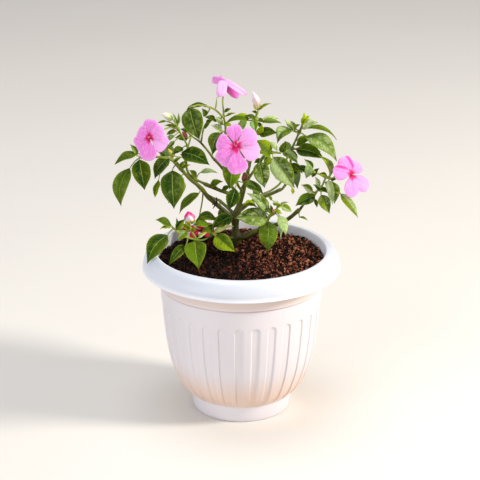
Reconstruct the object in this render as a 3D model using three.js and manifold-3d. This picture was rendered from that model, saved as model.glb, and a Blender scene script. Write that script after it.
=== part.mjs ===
// A potted garden balsam: a fluted white planter, its soil, and one bushy plant in flower.
// Millimetres, +Z up. The planter stands on z = 0 and the flowers face towards -Y.

import * as THREE from 'three';
import Module from 'manifold-3d';

const wasm = await Module();
wasm.setup();

// Driving dimensions of the planter
const RIM_RADIUS = 100;
const POT_HEIGHT = 170.5;
const WALL = 2.6;
const FLUTES = 30;
const FLUTE_DEPTH = 1.6;
const FLUTE_SHARE = 0.56;
const FLUTE_TOP = 115.8;
const FLUTE_TURN = THREE.MathUtils.degToRad(-91.6);
const FOOT_HEIGHT = 18;
const FOOT_RING = 3.5;
const FLOOR_RAISE = 4;
const DRAIN_HOLES = 5;
const DRAIN_RADIUS = 4;
const DRAIN_CIRCLE = 28;

// Driving dimensions of the filling and the plant
const SOIL_LEVEL = 159.5;
const SOIL_MOUND = 4;
const SOIL_LUMP = 1.5;
const GAP = 0.3;
const TRUNK_RADIUS = 4.2;
const TRUNK_FOOT = { x: -5, y: 36, z: 150 };
const BLADE = 0.75;
const PETAL = 0.75;
const PETIOLE_RADIUS = 0.7;
const SHOOT_RADIUS = 1.5;

// The place that the plant is seen from. Points of the plant are given as a column and a row of a
// picture 480 wide and 480 high taken from there, with their depth behind the planter's axis in mm.
const VIEW = {
  tilt: THREE.MathUtils.degToRad(20.67),
  distance: 2000,
  target: new THREE.Vector3(-1.28, 0, 179.5),
  focal: 1984.4,
  middle: 240,
};
const VIEW_UP = new THREE.Vector3(0, Math.sin(VIEW.tilt), Math.cos(VIEW.tilt));
const VIEW_BACK = new THREE.Vector3(0, -Math.cos(VIEW.tilt), Math.sin(VIEW.tilt));
const EYE = VIEW.target.clone().addScaledVector(VIEW_BACK, VIEW.distance);

function sightLine(column, row) {
  const across = (column - VIEW.middle) / VIEW.focal;
  const upward = (VIEW.middle - row) / VIEW.focal;
  return new THREE.Vector3(across, 0, 0).addScaledVector(VIEW_UP, upward).sub(VIEW_BACK);
}

function seen([column, row, depth]) {
  const line = sightLine(column, row);
  return EYE.clone().addScaledVector(line, (depth - EYE.y) / line.y);
}

// The point of a flat face, given by its centre and its normal, that shows at a column and a row.
function seenOnFace([column, row], centre, normal) {
  const line = sightLine(column, row);
  const reach = centre.clone().sub(EYE).dot(normal) / line.dot(normal);
  return EYE.clone().addScaledVector(line, reach);
}

// Seeded draws, so that every build is the same
function drawsFrom(seed) {
  let state = seed;
  return () => {
    state = (Math.imul(state, 1664525) + 1013904223) >>> 0;
    return state / 4294967296;
  };
}

function solidOf(points, triangles) {
  return new wasm.Manifold(new wasm.Mesh({
    numProp: 3,
    vertProperties: new Float32Array(points.flatMap((p) => [p.x, p.y, p.z])),
    triVerts: new Uint32Array(triangles.flat()),
  }));
}

function fused(solids) {
  return solids.reduce((whole, solid) => whole.add(solid));
}

function circle(count, radius, height, start = FLUTE_TURN) {
  return Array.from({ length: count }, (_, i) => {
    const angle = start + (2 * Math.PI * i) / count;
    return new THREE.Vector3(radius * Math.cos(angle), radius * Math.sin(angle), height);
  });
}

// A closed skin over rings of points that all run the same way round, closed at a point at each end.
// Neighbouring rings may have different counts.
function ringedSolid(startPoint, rings, endPoint) {
  const points = [startPoint];
  const triangles = [];
  const starts = [];
  for (const ring of rings) {
    starts.push(points.length);
    points.push(...ring);
  }
  points.push(endPoint);
  const last = points.length - 1;
  const at = (ring, i) => starts[ring] + (i % rings[ring].length);
  rings[0].forEach((_, i) => triangles.push([0, at(0, i + 1), at(0, i)]));
  for (let r = 0; r + 1 < rings.length; r += 1) {
    const here = rings[r].length;
    const next = rings[r + 1].length;
    let i = 0;
    let j = 0;
    while (i < here || j < next) {
      if (j === next || (i < here && (i + 1) / here <= (j + 1) / next)) {
        triangles.push([at(r, i), at(r, i + 1), at(r + 1, j)]);
        i += 1;
      } else {
        triangles.push([at(r, i), at(r + 1, j + 1), at(r + 1, j)]);
        j += 1;
      }
    }
  }
  const end = rings.length - 1;
  rings[end].forEach((_, i) => triangles.push([at(end, i), at(end, i + 1), last]));
  return solidOf(points, triangles);
}

// A round stem that tapers through the given points, with flat ends. Its radius goes from the first
// value to the second along its length.
function stem(points, startRadius, endRadius, sides) {
  const ends = points.length - 1;
  const way = points.map((_, i) => (
    points[Math.min(i + 1, ends)].clone().sub(points[Math.max(i - 1, 0)]).normalize()
  ));
  const side = new THREE.Vector3(0.31, 0.42, 0.85).cross(way[0]).normalize();
  const rings = points.map((point, i) => {
    side.addScaledVector(way[i], -side.dot(way[i])).normalize();
    const other = way[i].clone().cross(side);
    const radius = THREE.MathUtils.lerp(startRadius, endRadius, i / ends);
    return Array.from({ length: sides }, (_, k) => {
      const angle = (2 * Math.PI * k) / sides;
      return point.clone()
        .addScaledVector(side, radius * Math.cos(angle))
        .addScaledVector(other, radius * Math.sin(angle));
    });
  });
  return ringedSolid(points[0], rings, points[ends]);
}

// The planter

function bodyRadius(z) {
  const shape = [[18, 52.2], [20, 54.6], [26.7, 61.2], [34, 65.4], [42, 68.7], [54.7, 72.9],
    [71.4, 76.2], [92, 78.8], [115.8, 80.8], [135, 82.4]];
  const next = Math.max(1, shape.findIndex(([height]) => height >= z));
  const [z0, r0] = shape[next - 1];
  const [z1, r1] = shape[next];
  return THREE.MathUtils.mapLinear(z, z0, z1, r0, r1);
}

const PLAIN_SIDES = 32;
const RIM_CENTRE = { r: 87, z: 152 };
const CREST = POT_HEIGHT - RIM_CENTRE.z;
const OVERHANG = RIM_RADIUS - RIM_CENTRE.r;

// One ring of the fluted wall: each flute has two edges and its deepest line, and its half width
// closes as a half circle at the top.
function flutedRing(z) {
  const radius = bodyRadius(z);
  const pitch = (2 * Math.PI) / FLUTES;
  const halfWidth = (FLUTE_SHARE * pitch * radius) / 2;
  const rise = Math.max(0, (z - (FLUTE_TOP - halfWidth)) / halfWidth);
  const open = Math.max(0.04, Math.sqrt(Math.max(0, 1 - rise * rise)));
  const depth = FLUTE_DEPTH * Math.min(1, open * 1.3);
  const edge = (FLUTE_SHARE * pitch * open) / 2;
  const floorRadius = radius - (open > 0.05 ? depth : 0);
  const ring = [];
  for (let flute = 0; flute < FLUTES; flute += 1) {
    const middle = FLUTE_TURN + pitch * flute;
    for (const [offset, r] of [[-edge, radius], [0, floorRadius], [edge, radius]]) {
      const angle = middle + offset;
      ring.push(new THREE.Vector3(r * Math.cos(angle), r * Math.sin(angle), z));
    }
  }
  return ring;
}

const INNER_WALL = [[7, 46.2], [19, 49.6], [30, 60.6], [54.7, 69.6], [115.8, 77.6],
  [140, 80.4], [SOIL_LEVEL + 8, 85.4]];

function pot() {
  const floorTop = FLOOR_RAISE + WALL;
  const plain = (radius, height) => circle(PLAIN_SIDES, radius, height);
  const rings = [
    plain(44.4, FLOOR_RAISE),
    plain(48.5 - FOOT_RING, 0),
    plain(48.5, 0),
    plain(50, 2),
    plain(52.2, FOOT_HEIGHT),
  ];
  for (const z of [20, 29, 42, 62, 110.6, 114.2, FLUTE_TOP]) {
    rings.push(flutedRing(z));
  }
  rings.push(plain(82.3, 134.8));
  rings.push(plain(83.8, 136.2));
  rings.push(plain(87.6, 160));
  rings.push(plain(93, 160));
  rings.push(plain(97.5, 151.6));
  for (const lift of [0, 24, 46, 66, 90]) {
    const angle = THREE.MathUtils.degToRad(lift);
    rings.push(plain(RIM_CENTRE.r + OVERHANG * Math.cos(angle), RIM_CENTRE.z + CREST * Math.sin(angle)));
  }
  for (const [z, radius] of INNER_WALL.toReversed()) {
    rings.push(plain(radius, z));
  }
  const body = ringedSolid(new THREE.Vector3(0, 0, FLOOR_RAISE), rings, new THREE.Vector3(0, 0, floorTop));
  return drainHoles().reduce((left, hole) => left.subtract(hole), body);
}

function drainHoles() {
  return Array.from({ length: DRAIN_HOLES }, (_, i) => {
    const angle = (2 * Math.PI * i) / DRAIN_HOLES;
    const centre = new THREE.Vector3(DRAIN_CIRCLE * Math.cos(angle), DRAIN_CIRCLE * Math.sin(angle), 0);
    return stem([centre.clone().setZ(-1), centre.clone().setZ(12)], DRAIN_RADIUS, DRAIN_RADIUS, 10);
  });
}

// The soil fills the planter to about a centimetre under the rim, and its top is crumbly

function soil() {
  const draw = drawsFrom(11);
  const sides = INNER_WALL.slice(0, -1).map(([z, radius]) => circle(PLAIN_SIDES, radius - GAP - 0.05, z + GAP));
  const top = [[83.2, PLAIN_SIDES], [68, 28], [54, 24], [39, 18], [24, 13], [10, 7]];
  const lumps = top.map(([radius, count]) => circle(count, radius, 0).map((point) => {
    const fromStem = Math.hypot(point.x - TRUNK_FOOT.x, point.y - TRUNK_FOOT.y);
    const mound = SOIL_MOUND * Math.exp(-((fromStem / 32) ** 2));
    return point.setZ(SOIL_LEVEL + mound + SOIL_LUMP * (2 * draw() - 1));
  }));
  const bottom = new THREE.Vector3(0, 0, INNER_WALL[0][0] + GAP);
  const body = ringedSolid(bottom, [...sides, ...lumps], new THREE.Vector3(0, 0, SOIL_LEVEL));
  const foot = new THREE.Vector3(TRUNK_FOOT.x, TRUNK_FOOT.y, TRUNK_FOOT.z - GAP);
  const hole = stem([foot, foot.clone().setZ(SOIL_LEVEL + 20)], TRUNK_RADIUS + 2 * GAP, TRUNK_RADIUS + 2 * GAP, 10);
  return body.subtract(hole);
}

// The woody stems: each limb starts inside what it grows from and ends flat, where its spray goes on

const LIMBS = {
  trunk: { way: [[234.5, 231, 36], [235.2, 219, 36], [238.5, 208, 35], [243, 190, 32], [248, 175, 28]],
    radii: [TRUNK_RADIUS, 1.9], sides: 7 },
  left: { way: [[235.2, 220.5, 35], [225, 211.5, 34], [215, 203, 31], [208, 196.7, 28]], radii: [2.9, 2.5], sides: 5 },
  leftBack: { way: [[241.2, 197, 33], [229, 193.5, 35], [219, 190, 36], [208, 185.3, 36]], radii: [2.2, 2],
    sides: 5 },
  upper: { way: [[240.6, 198, 34], [229, 182, 40], [224, 167, 40], [224.5, 152, 36]], radii: [1.9, 1.5], sides: 5 },
  upperRight: { way: [[247, 177, 28], [250, 163, 32], [253.5, 146, 36], [254.5, 136, 36]],
    radii: [1.7, 1.4], sides: 5 },
  innerLeft: { way: [[225, 172, 40], [220, 165.5, 38], [214, 159, 36]], radii: [1.6, 1.5], sides: 5 },
  centre: { way: [[242.6, 191, 32], [239, 187, 24], [237, 183, 18]], radii: [1.6, 1.4], sides: 5 },
  rightUp: { way: [[243.4, 188, 32], [249, 178, 34], [256, 168, 36], [262, 159, 36]], radii: [1.8, 1.5], sides: 5 },
  rightCentre: { way: [[238.3, 208, 35], [252, 201.5, 40], [268, 195.2, 44], [281, 189.3, 46]],
    radii: [2.4, 1.9], sides: 5 },
  rightLow: { way: [[235, 238, 36], [256, 231, 42], [275, 225, 44], [288, 219, 42], [299, 210, 38]],
    radii: [2.8, 2.2], sides: 5 },
  lowRight: { way: [[235, 239, 35], [246, 237, 24], [256, 231, 14]], radii: [2.3, 1.8], sides: 5 },
  lowLeft: { way: [[234, 238, 35], [224, 237.5, 24], [216, 236, 16]], radii: [2.2, 1.7], sides: 5 },
  backLeft: { way: [[236, 216, 36], [228, 208, 56], [220, 201, 72]], radii: [2.3, 1.8], sides: 5 },
  backRight: { way: [[236, 214, 36], [246, 206, 54], [256, 199, 70]], radii: [2.2, 1.7], sides: 5 },
  backTop: { way: [[247.2, 177, 28], [247.5, 169, 44], [247.5, 161, 58]], radii: [1.7, 1.5], sides: 5 },
  seedStalk: { way: [[247.4, 176, 28], [248, 170, 25], [246.6, 171.4, 22.2]], radii: [0.9, 0.7], sides: 4 },
};

function stems() {
  const foot = new THREE.Vector3(TRUNK_FOOT.x, TRUNK_FOOT.y, TRUNK_FOOT.z);
  const collar = new THREE.Vector3(TRUNK_FOOT.x, TRUNK_FOOT.y, SOIL_LEVEL + 7);
  return fused(Object.entries(LIMBS).map(([name, limb]) => {
    const way = limb.way.map(seen);
    return stem(name === 'trunk' ? [foot, collar, ...way.slice(1)] : way, ...limb.radii, limb.sides);
  }));
}

// A spray's shoot goes on from its limb's flat end, a small gap past it
function shootFrom(limbName, points) {
  const way = LIMBS[limbName].way.map(seen);
  const end = way[way.length - 1];
  const onward = end.clone().sub(way[way.length - 2]).normalize();
  const first = end.clone().addScaledVector(onward, GAP);
  return [first, first.clone().addScaledVector(onward, 1.5), ...points.map(seen)];
}

// Blades: leaves and petals

const ORIGIN = new THREE.Vector3();

// A thin closed blade. Its midrib runs from root to tip, bows towards the face by `arch` of its
// length, and to one side by `sweep`. `ribs` are the stations along the midrib and `edge` the stations and half widths along each
// side. Both faces are split into the same triangles. A blade with a `stalk` starts at that point, and
// its edges start beside the root, as wide as the stalk.
function blade({ root, tip, face, halfWidth, fold, arch, sweep = ORIGIN, ribs, edge, thick, stalk }) {
  const axis = tip.clone().sub(root);
  const length = axis.length();
  const along = axis.clone().normalize();
  const across = along.clone().cross(face);
  const lift = Math.sin(fold);
  const spread = Math.cos(fold);
  const place = (t, side, width) => root.clone()
    .addScaledVector(axis, t)
    .addScaledVector(face, arch * length * 4 * t * (1 - t) + lift * width * halfWidth)
    .addScaledVector(sweep, Math.sin(Math.PI * t))
    .addScaledVector(across, side * spread * width * halfWidth);
  const middle = ribs.map((t) => place(t, 0, 0));
  const flanks = [1, -1].map((side) => edge.map(([t, width]) => place(t, side, width)));
  const top = [...middle, ...flanks[0], ...flanks[1]];
  const normals = top.map(() => face);
  if (stalk) {
    const way = root.clone().sub(stalk).normalize();
    const side = across.clone().addScaledVector(way, -across.dot(way)).normalize();
    top.push(stalk.clone().addScaledVector(side, edge[0][1] * halfWidth));
    top.push(stalk.clone().addScaledVector(side, -edge[0][1] * halfWidth));
    normals.push(side.clone().cross(way), side.clone().cross(way));
  }
  const points = [
    ...top.map((p, i) => p.clone().addScaledVector(normals[i], thick / 2)),
    ...top.map((p, i) => p.clone().addScaledVector(normals[i], -thick / 2)),
  ];
  const under = top.length;
  const last = ribs.length - 1;
  const firstEdge = stalk ? 0 : 1;
  const triangles = [];
  const twoFaces = (a, b, c) => {
    if (a === b || b === c || a === c) return;
    triangles.push([a, b, c]);
    triangles.push([a + under, c + under, b + under]);
  };
  const wall = (a, b) => {
    triangles.push([a, a + under, b + under]);
    triangles.push([a, b + under, b]);
  };
  [1, -1].forEach((side, flank) => {
    const offset = ribs.length + flank * edge.length;
    const edgeAt = (k) => {
      if (k === 2 * last) return last;
      return k < firstEdge ? 0 : offset + k - firstEdge;
    };
    const turned = (a, b, c) => (side > 0 ? twoFaces(a, b, c) : twoFaces(a, c, b));
    for (let j = 0; j < last; j += 1) {
      turned(j, edgeAt(2 * j), edgeAt(2 * j + 1));
      turned(j, edgeAt(2 * j + 1), j + 1);
      turned(j + 1, edgeAt(2 * j + 1), edgeAt(2 * j + 2));
    }
    for (let k = 0; k < 2 * last; k += 1) {
      wall(...(side > 0 ? [edgeAt(k), edgeAt(k + 1)] : [edgeAt(k + 1), edgeAt(k)]));
    }
    if (stalk) {
      const corner = under - 2 + flank;
      turned(0, corner, edgeAt(0));
      wall(...(side > 0 ? [corner, edgeAt(0)] : [edgeAt(0), corner]));
    }
  });
  if (stalk) {
    twoFaces(under - 1, under - 2, 0);
    wall(under - 1, under - 2);
  }
  return solidOf(points, triangles);
}

// How wide a leaf is at a share of its length: broadest before the middle, drawn out to a point
function leafWidth(t) {
  return Math.sin(Math.PI * t ** 0.72) ** 0.9;
}

// The face of a leaf squarely towards the viewer, then rolled by `turn` degrees up to the sky, or to
// the right where the leaf hangs, and the direction square to the leaf as the viewer sees it
function rolledFace(root, tip, turn) {
  const along = tip.clone().sub(root).normalize();
  const face = EYE.clone().sub(root);
  face.addScaledVector(along, -face.dot(along)).normalize();
  const aside = along.clone().cross(face);
  const upright = aside.x * 0.6 + aside.z >= 0 ? 1 : -1;
  return { face: face.applyAxisAngle(along, upright * THREE.MathUtils.degToRad(turn)), aside };
}

const LONG_LEAF = 28;
const SHORT_LEAF = 12;
const TOOTH = 0.06;
const STALK_HALF_WIDTH = 0.6;
const STRAIGHT_ENOUGH = 0.4;

// A leaf with its stalk, which grows from the nearest part of the shoots. Where the stalk meets the
// blade at a sharp angle it is a round piece of its own, sunk into the blade.
function leaf(shoots, { root, tip, width, turn = 20, arch = 0.09, fold = 16, bow = 0 }) {
  const from = seen(root);
  const to = seen(tip);
  const length = from.distanceTo(to);
  const slant = Math.max(0.34, Math.abs(Math.cos(THREE.MathUtils.degToRad(turn))));
  const halfWidth = Math.min(width / slant, 0.62 * length) / 2;
  const start = nearestPoint(shoots, from);
  const bend = from.clone().sub(start).normalize().dot(to.clone().sub(from).normalize());
  const joined = bend > STRAIGHT_ENOUGH;
  const spans = 1 + (length > SHORT_LEAF) + (length > LONG_LEAF);
  const ribs = Array.from({ length: spans + 1 }, (_, j) => j / spans);
  const edge = Array.from({ length: 2 * spans - 1 }, (_, k) => {
    const t = (k + 1) / (2 * spans);
    return [t, leafWidth(t) * (k % 2 ? 1 - TOOTH : 1 + TOOTH)];
  });
  if (joined) edge.unshift([0, STALK_HALF_WIDTH / halfWidth]);
  const { face, aside } = rolledFace(from, to, turn);
  const sweep = aside.multiplyScalar(bow);
  const made = blade({ root: from, tip: to, face, halfWidth, fold: THREE.MathUtils.degToRad(fold), arch,
    sweep, ribs, edge, thick: BLADE, stalk: joined ? start : null });
  if (joined) return made;
  const inside = from.clone().lerp(to, 0.12);
  inside.addScaledVector(face, arch * length * 4 * 0.12 * 0.88);
  inside.addScaledVector(sweep, Math.sin(Math.PI * 0.12));
  return made.add(stem([start, inside], PETIOLE_RADIUS, PETIOLE_RADIUS * 0.8, 3));
}

function nearestPoint(shoots, point) {
  let best = null;
  for (const [order, shoot] of shoots.entries()) {
    for (let i = order === 0 ? 1 : 0; i + 1 < shoot.length; i += 1) {
      const near = new THREE.Line3(shoot[i], shoot[i + 1]).closestPointToPoint(point, true, new THREE.Vector3());
      if (!best || near.distanceTo(point) < best.distanceTo(point)) best = near;
    }
  }
  return best;
}

const SPRAYS = {
  spray_far_left: { limb: 'left', radii: [2.5, 1.2],
    shoots: [[[203, 190.5, 25], [197, 184.5, 22], [190, 179, 18], [181, 169, 12], [172, 160, 6],
      [158, 157, -1], [141, 157, -6]]],
    leaves: [
      { root: [138, 153.5, -8], tip: [114.5, 164.3, -14], width: 8, turn: 45, bow: 1 },
      { root: [137, 155.5, -8], tip: [130, 144, -2], width: 5, turn: 50 },
      { root: [139.3, 159.7, -8], tip: [145, 189.8, -22], width: 21, turn: 10, bow: 0.8 },
      { root: [129.8, 168, -9], tip: [120.5, 206.8, -20], width: 15.2, turn: -15, bow: 4.2 },
      { root: [169, 157.5, 3], tip: [154.3, 179, -6], width: 12.5, turn: 15, bow: 2 },
      { root: [158.6, 180, 2], tip: [155.6, 198, 2], width: 6, turn: 40, bow: 2.6 },
      { root: [172.3, 170.5, 5], tip: [174, 208.7, -16], width: 26.5, turn: 5, bow: 0.8 },
      { root: [199, 193, 20], tip: [178.5, 213, 8], width: 8.5, turn: 40, bow: 0.6 },
    ],
    stalks: [
      { from: [[172, 160, 6], [173, 158.5, 9]], to: 'bud_yellow' },
      { from: [[203, 190.5, 25], [202.5, 199, 38], [200, 213, 50], [197.5, 224, 54], [196.5, 230, 51]],
        to: 'bloom_crimson' },
    ] },
  spray_left: { limb: 'leftBack',
    shoots: [[[200, 181.5, 34], [193, 178.3, 30], [187, 170, 24], [186.5, 160, 20], [187.5, 147.5, 16],
      [185, 141, 12], [181, 134, 10], [177.5, 128, 8]]],
    leaves: [
      { root: [174.5, 135.5, 7], tip: [165, 142, 2], width: 5, turn: 40 },
      { root: [176.5, 131, 8], tip: [166, 134.5, 12], width: 4.5, turn: 40 },
      { root: [182.8, 147.5, 14], tip: [172.8, 154, 6], width: 8.5, turn: 30 },
      { root: [181.8, 152.6, 15], tip: [209.6, 164.4, 4], width: 18.5, turn: 30, bow: -1 },
      { root: [176.5, 127, 8], tip: [164.5, 125.2, 6], width: 3.2, turn: 30 },
      { root: [196, 177, 31], tip: [189.5, 170, 27], width: 6.5, turn: 30 },
    ],
    stalks: [
      { from: [[178, 129, 8], [174.5, 122, 7]], to: 'bud_white' },
      { from: [[178, 129, 8], [170, 127.5, 4], [160, 131, -3]], to: 'bloom_left' },
    ] },
  spray_upper_left: { limb: 'upper',
    shoots: [[[225.5, 140, 34], [225.5, 127, 34], [224, 118, 33], [223.5, 111, 33]],
      [[224, 118, 33], [215, 109.5, 30], [207, 106.5, 29], [199, 105, 28], [193, 106.5, 27]]],
    leaves: [
      { root: [189.8, 107.5, 26], tip: [199.5, 139.8, 10], width: 27, turn: 0, bow: 1.2 },
      { root: [206, 104.8, 30], tip: [184, 115.5, 38], width: 4.4, turn: 55, arch: 0.16, bow: 0.8 },
      { root: [206, 116, 31], tip: [202.5, 108.5, 26], width: 6 },
      { root: [217, 121, 33], tip: [205, 117, 29], width: 6, turn: 50 },
      { root: [223, 124.5, 34], tip: [214, 117.5, 30], width: 6, turn: 40 },
      { root: [222.5, 132, 34], tip: [212, 125, 28], width: 7, turn: 40 },
      { root: [222, 132.5, 30], tip: [213, 154.8, 16], width: 15, turn: 10, bow: 4 },
      { root: [224.5, 112, 34], tip: [231, 108.5, 35], width: 4, turn: 40 },
    ],
    stalks: [{ from: [[223.6, 112, 33], [222.7, 101, 34], [223.6, 93, 35]], to: 'bloom_top' }] },
  spray_inner_left: { limb: 'innerLeft',
    shoots: [[[208, 151, 33], [200, 142, 30], [193, 137, 28], [187, 131.5, 26]],
      [[201, 143, 30], [203, 131, 30], [205.5, 124, 31]]],
    leaves: [
      { root: [187.5, 138.5, 26], tip: [175, 137.5, 20], width: 7, turn: 30 },
    ],
    stalks: [{ from: [[192, 136.5, 28], [190, 138.5, 20]], to: 'bud_red' }] },
  spray_upper_right: { limb: 'upperRight',
    shoots: [[[255, 125, 36], [256, 117, 36], [257.6, 112, 36]]],
    leaves: [
      { root: [249.5, 120.3, 32], tip: [225.5, 121.8, 24], width: 6, turn: 50, arch: 0.12, bow: 0.6 },
      { root: [255.5, 119.5, 34], tip: [246, 115, 30], width: 5, turn: 40 },
      { root: [258, 118.5, 36], tip: [264, 123, 34], width: 5, turn: 40 },
      { root: [262, 121.5, 36], tip: [281.5, 122.8, 32], width: 5.2, turn: 40 },
      { root: [263, 118.8, 37], tip: [279, 118.5, 42], width: 4.2, turn: 30 },
      { root: [258.5, 110.3, 36], tip: [270.8, 103, 36], width: 3, turn: 45, arch: 0.12 },
      { root: [257, 135, 34], tip: [262.5, 124.5, 30], width: 7, turn: 30 },
      { root: [258.5, 133.5, 34], tip: [277, 132.3, 30], width: 11.5, turn: 30 },
    ],
    stalks: [{ from: [[257.4, 112.5, 36], [257.9, 111, 36]], to: 'bud_pink' }] },
  spray_centre: { limb: 'centre',
    shoots: [[[235, 177, 14], [235, 168, 10], [235.5, 161, 7]]],
    leaves: [
      { root: [232.7, 160, 8], tip: [229.8, 189.5, -4], width: 20.5, turn: 5 },
      { root: [235.4, 188.5, 10], tip: [229, 209.8, 4], width: 17, turn: 10, bow: 0.4 },
      { root: [243, 182.5, 13], tip: [264.5, 193.3, 24], width: 9, turn: 35 },
    ],
    stalks: [{ from: [[235.4, 162, 7], [236.5, 150, -4], [237, 145, -16]], to: 'bloom_centre' }] },
  spray_right_centre: { limb: 'rightUp',
    shoots: [[[267, 153, 34], [273, 152.5, 33], [281, 153, 33]]],
    leaves: [
      { root: [271, 153, 33], tip: [256, 140, 28], width: 12, bow: 1 },
      { root: [270, 155, 32], tip: [258, 152, 22], width: 8, turn: 40 },
      { root: [273, 157, 30], tip: [294.5, 188.3, 16], width: 20.5, turn: -8, bow: -0.8 },
      { root: [259.8, 161.5, 26], tip: [264.8, 188, 16], width: 18, turn: 8, bow: 0.8 },
      { root: [277, 150, 33], tip: [268.5, 141.5, 34], width: 5, turn: 40 },
      { root: [280.5, 152.5, 34], tip: [286, 141, 36], width: 12 },
    ] },
  spray_right_shoot: { limb: 'rightCentre',
    shoots: [[[288, 180, 50], [290.5, 166, 52], [291, 152, 52], [296, 139.5, 52], [302, 126, 52], [302.6, 120, 52]]],
    leaves: [
      { root: [291.5, 128.8, 50], tip: [277.3, 142.6, 38], width: 13.5, bow: 4 },
      { root: [303, 124, 52], tip: [304.5, 113, 50], width: 7, turn: 30 },
      { root: [304, 128, 51], tip: [317.8, 122.3, 44], width: 8.5, turn: 30, bow: -1.8 },
      { root: [304, 128.8, 52], tip: [337.3, 138.8, 44], width: 4.8, turn: 55, arch: 0.16, bow: -1.1 },
      { root: [306, 136, 49], tip: [337.2, 160.3, 32], width: 16, turn: 25, arch: 0.1, bow: -3.6 },
      { root: [296, 149.5, 49], tip: [324, 158, 38], width: 14, turn: 25, bow: -1.4 },
      { root: [282.5, 151, 48], tip: [298.3, 162.8, 40], width: 8.5, turn: 40 },
      { root: [293, 130.5, 52], tip: [285, 119.5, 50], width: 7, turn: 40 },
      { root: [291.5, 129.8, 53], tip: [300, 124.2, 54], width: 4.2, turn: 40 },
    ] },
  spray_right_cluster: { limb: 'rightLow',
    shoots: [[[305, 203, 34], [314, 194.5, 30], [318, 190, 30], [322, 186, 30], [326, 178, 30],
      [331, 178.5, 29]],
    [[326, 178, 30], [320, 174.5, 32], [313.5, 172, 34]], [[318, 190, 30], [329, 191, 26], [338.5, 193, 20]]],
    leaves: [
      { root: [315, 196, 28], tip: [295.3, 205.5, 18], width: 12, turn: 25 },
      { root: [313, 193, 28], tip: [301, 184.5, 26], width: 7, turn: 40 },
      { root: [314.5, 199, 29], tip: [317, 207.5, 26], width: 4, turn: 40 },
      { root: [321, 195, 26], tip: [329.5, 213.5, 14], width: 12, turn: 5 },
      { root: [328.5, 179.8, 28], tip: [331.8, 204.8, 16], width: 7.5, turn: -30, bow: -2.2 },
      { root: [332, 181.5, 30], tip: [334.5, 203.8, 22], width: 11, bow: -0.6 },
      { root: [340.5, 193.5, 20], tip: [358.5, 217.5, 8], width: 8.5, turn: 25 },
      { root: [329.3, 177.5, 31], tip: [318.2, 154.8, 20], width: 7, turn: 30, arch: 0.12, bow: 4.2 },
      { root: [309.8, 164.5, 34], tip: [306, 178.8, 28], width: 8.5 },
      { root: [312, 177, 33], tip: [319, 168, 36], width: 7, turn: 40 },
      { root: [313, 169, 34], tip: [304.5, 159, 36], width: 6, turn: 30 },
      { root: [309, 172, 36], tip: [296, 166.5, 42], width: 11, turn: 40 },
    ],
    stalks: [{ from: [[330.5, 178.5, 29], [337, 177, 27], [344, 175.5, 23]], to: 'bloom_right' }] },
  spray_low_right: { limb: 'lowRight',
    shoots: [[[265, 222.5, 8], [270, 216, 6], [276, 210, 6], [279, 204, 7]]],
    leaves: [
      { root: [268, 218.5, 6], tip: [234.8, 217.2, -2], width: 18.5 },
      { root: [268.8, 221.5, 5], tip: [268.2, 251.6, -8], width: 19.5, turn: -5 },
      { root: [279.6, 215.5, 6], tip: [286.4, 234.9, -4], width: 10, turn: 30, bow: 0.6 },
      { root: [279, 217.5, 6], tip: [281.3, 239, -3], width: 3, turn: 60, arch: 0.02 },
      { root: [268.8, 212, 8], tip: [247.2, 193, 2], width: 10.5, bow: 2 },
      { root: [256.5, 206.5, 9], tip: [242, 206, 4], width: 6.5, turn: 50, arch: 0.16, bow: 1.2 },
      { root: [273, 203, 8], tip: [281, 204.5, 4], width: 6, turn: 20 },
      { root: [281.5, 205.8, 7], tip: [292, 211.8, 4], width: 7 },
      { root: [272, 200, 8], tip: [268, 195.8, 8], width: 4, turn: 30 },
    ] },
  spray_low_left: { limb: 'lowLeft',
    shoots: [[[211, 236.5, 10], [203, 240, 2], [197, 240, -3]],
      [[197, 240, -3], [192, 232, -4], [190, 226, -4]],
      [[197, 240, -3], [186, 237, -7], [177, 231, -11], [171, 226, -14]],
      [[211, 236.5, 10], [213, 227, 13], [216, 217.5, 15]]],
    leaves: [
      { root: [216, 218.5, 14], tip: [194.8, 222, 5], width: 9.5, bow: 3.6 },
      { root: [232, 216.3, 18], tip: [212.8, 227.8, 8], width: 13.5, turn: 15, bow: 0.6 },
      { root: [208.5, 224, 8], tip: [192.5, 224.8, 0], width: 7.5, turn: 35 },
      { root: [212, 230, 8], tip: [202, 231, 2], width: 8 },
      { root: [214, 233, 10], tip: [234, 226, 4], width: 6, turn: 55 },
      { root: [215.3, 235.5, 4], tip: [235.6, 251.8, -14], width: 16, turn: 10, bow: 1.2 },
      { root: [195, 240.5, -5], tip: [198.6, 268.7, -38], width: 21.5, turn: 0, bow: 0.6 },
      { root: [186, 245.3, -10], tip: [169, 264, -34], width: 10 },
      { root: [167.6, 235, -15], tip: [147.2, 264, -34], width: 17.5, turn: -10, bow: 4.8 },
      { root: [171, 225, -14], tip: [155.5, 219.6, -20], width: 8, turn: 40 },
      { root: [176.5, 230, -12], tip: [184.8, 219, -16], width: 7.5 },
      { root: [187, 231, -6], tip: [177.5, 240, -14], width: 10, turn: 15 },
      { root: [189, 230, -4], tip: [182.5, 223.5, 0], width: 5, turn: 20 },
    ],
    stalks: [{ from: [[190.3, 227, -4], [190, 225, -4]], to: 'bud_opening' }] },
  spray_back_left: { limb: 'backLeft',
    shoots: [[[208, 195, 86], [197, 183, 96], [190, 176, 100], [185, 160, 104], [188, 147, 106],
      [192, 134, 108]]],
    leaves: [
      { root: [188, 153, 106], tip: [206, 162, 122], width: 14, turn: 160 },
      { root: [192, 133, 109], tip: [192, 112, 120], width: 18, turn: 165 },
      { root: [175, 156, 101], tip: [148, 146, 96], width: 16, turn: 130 },
      { root: [181, 176, 99], tip: [169, 203, 106], width: 15, turn: 150 },
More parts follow.
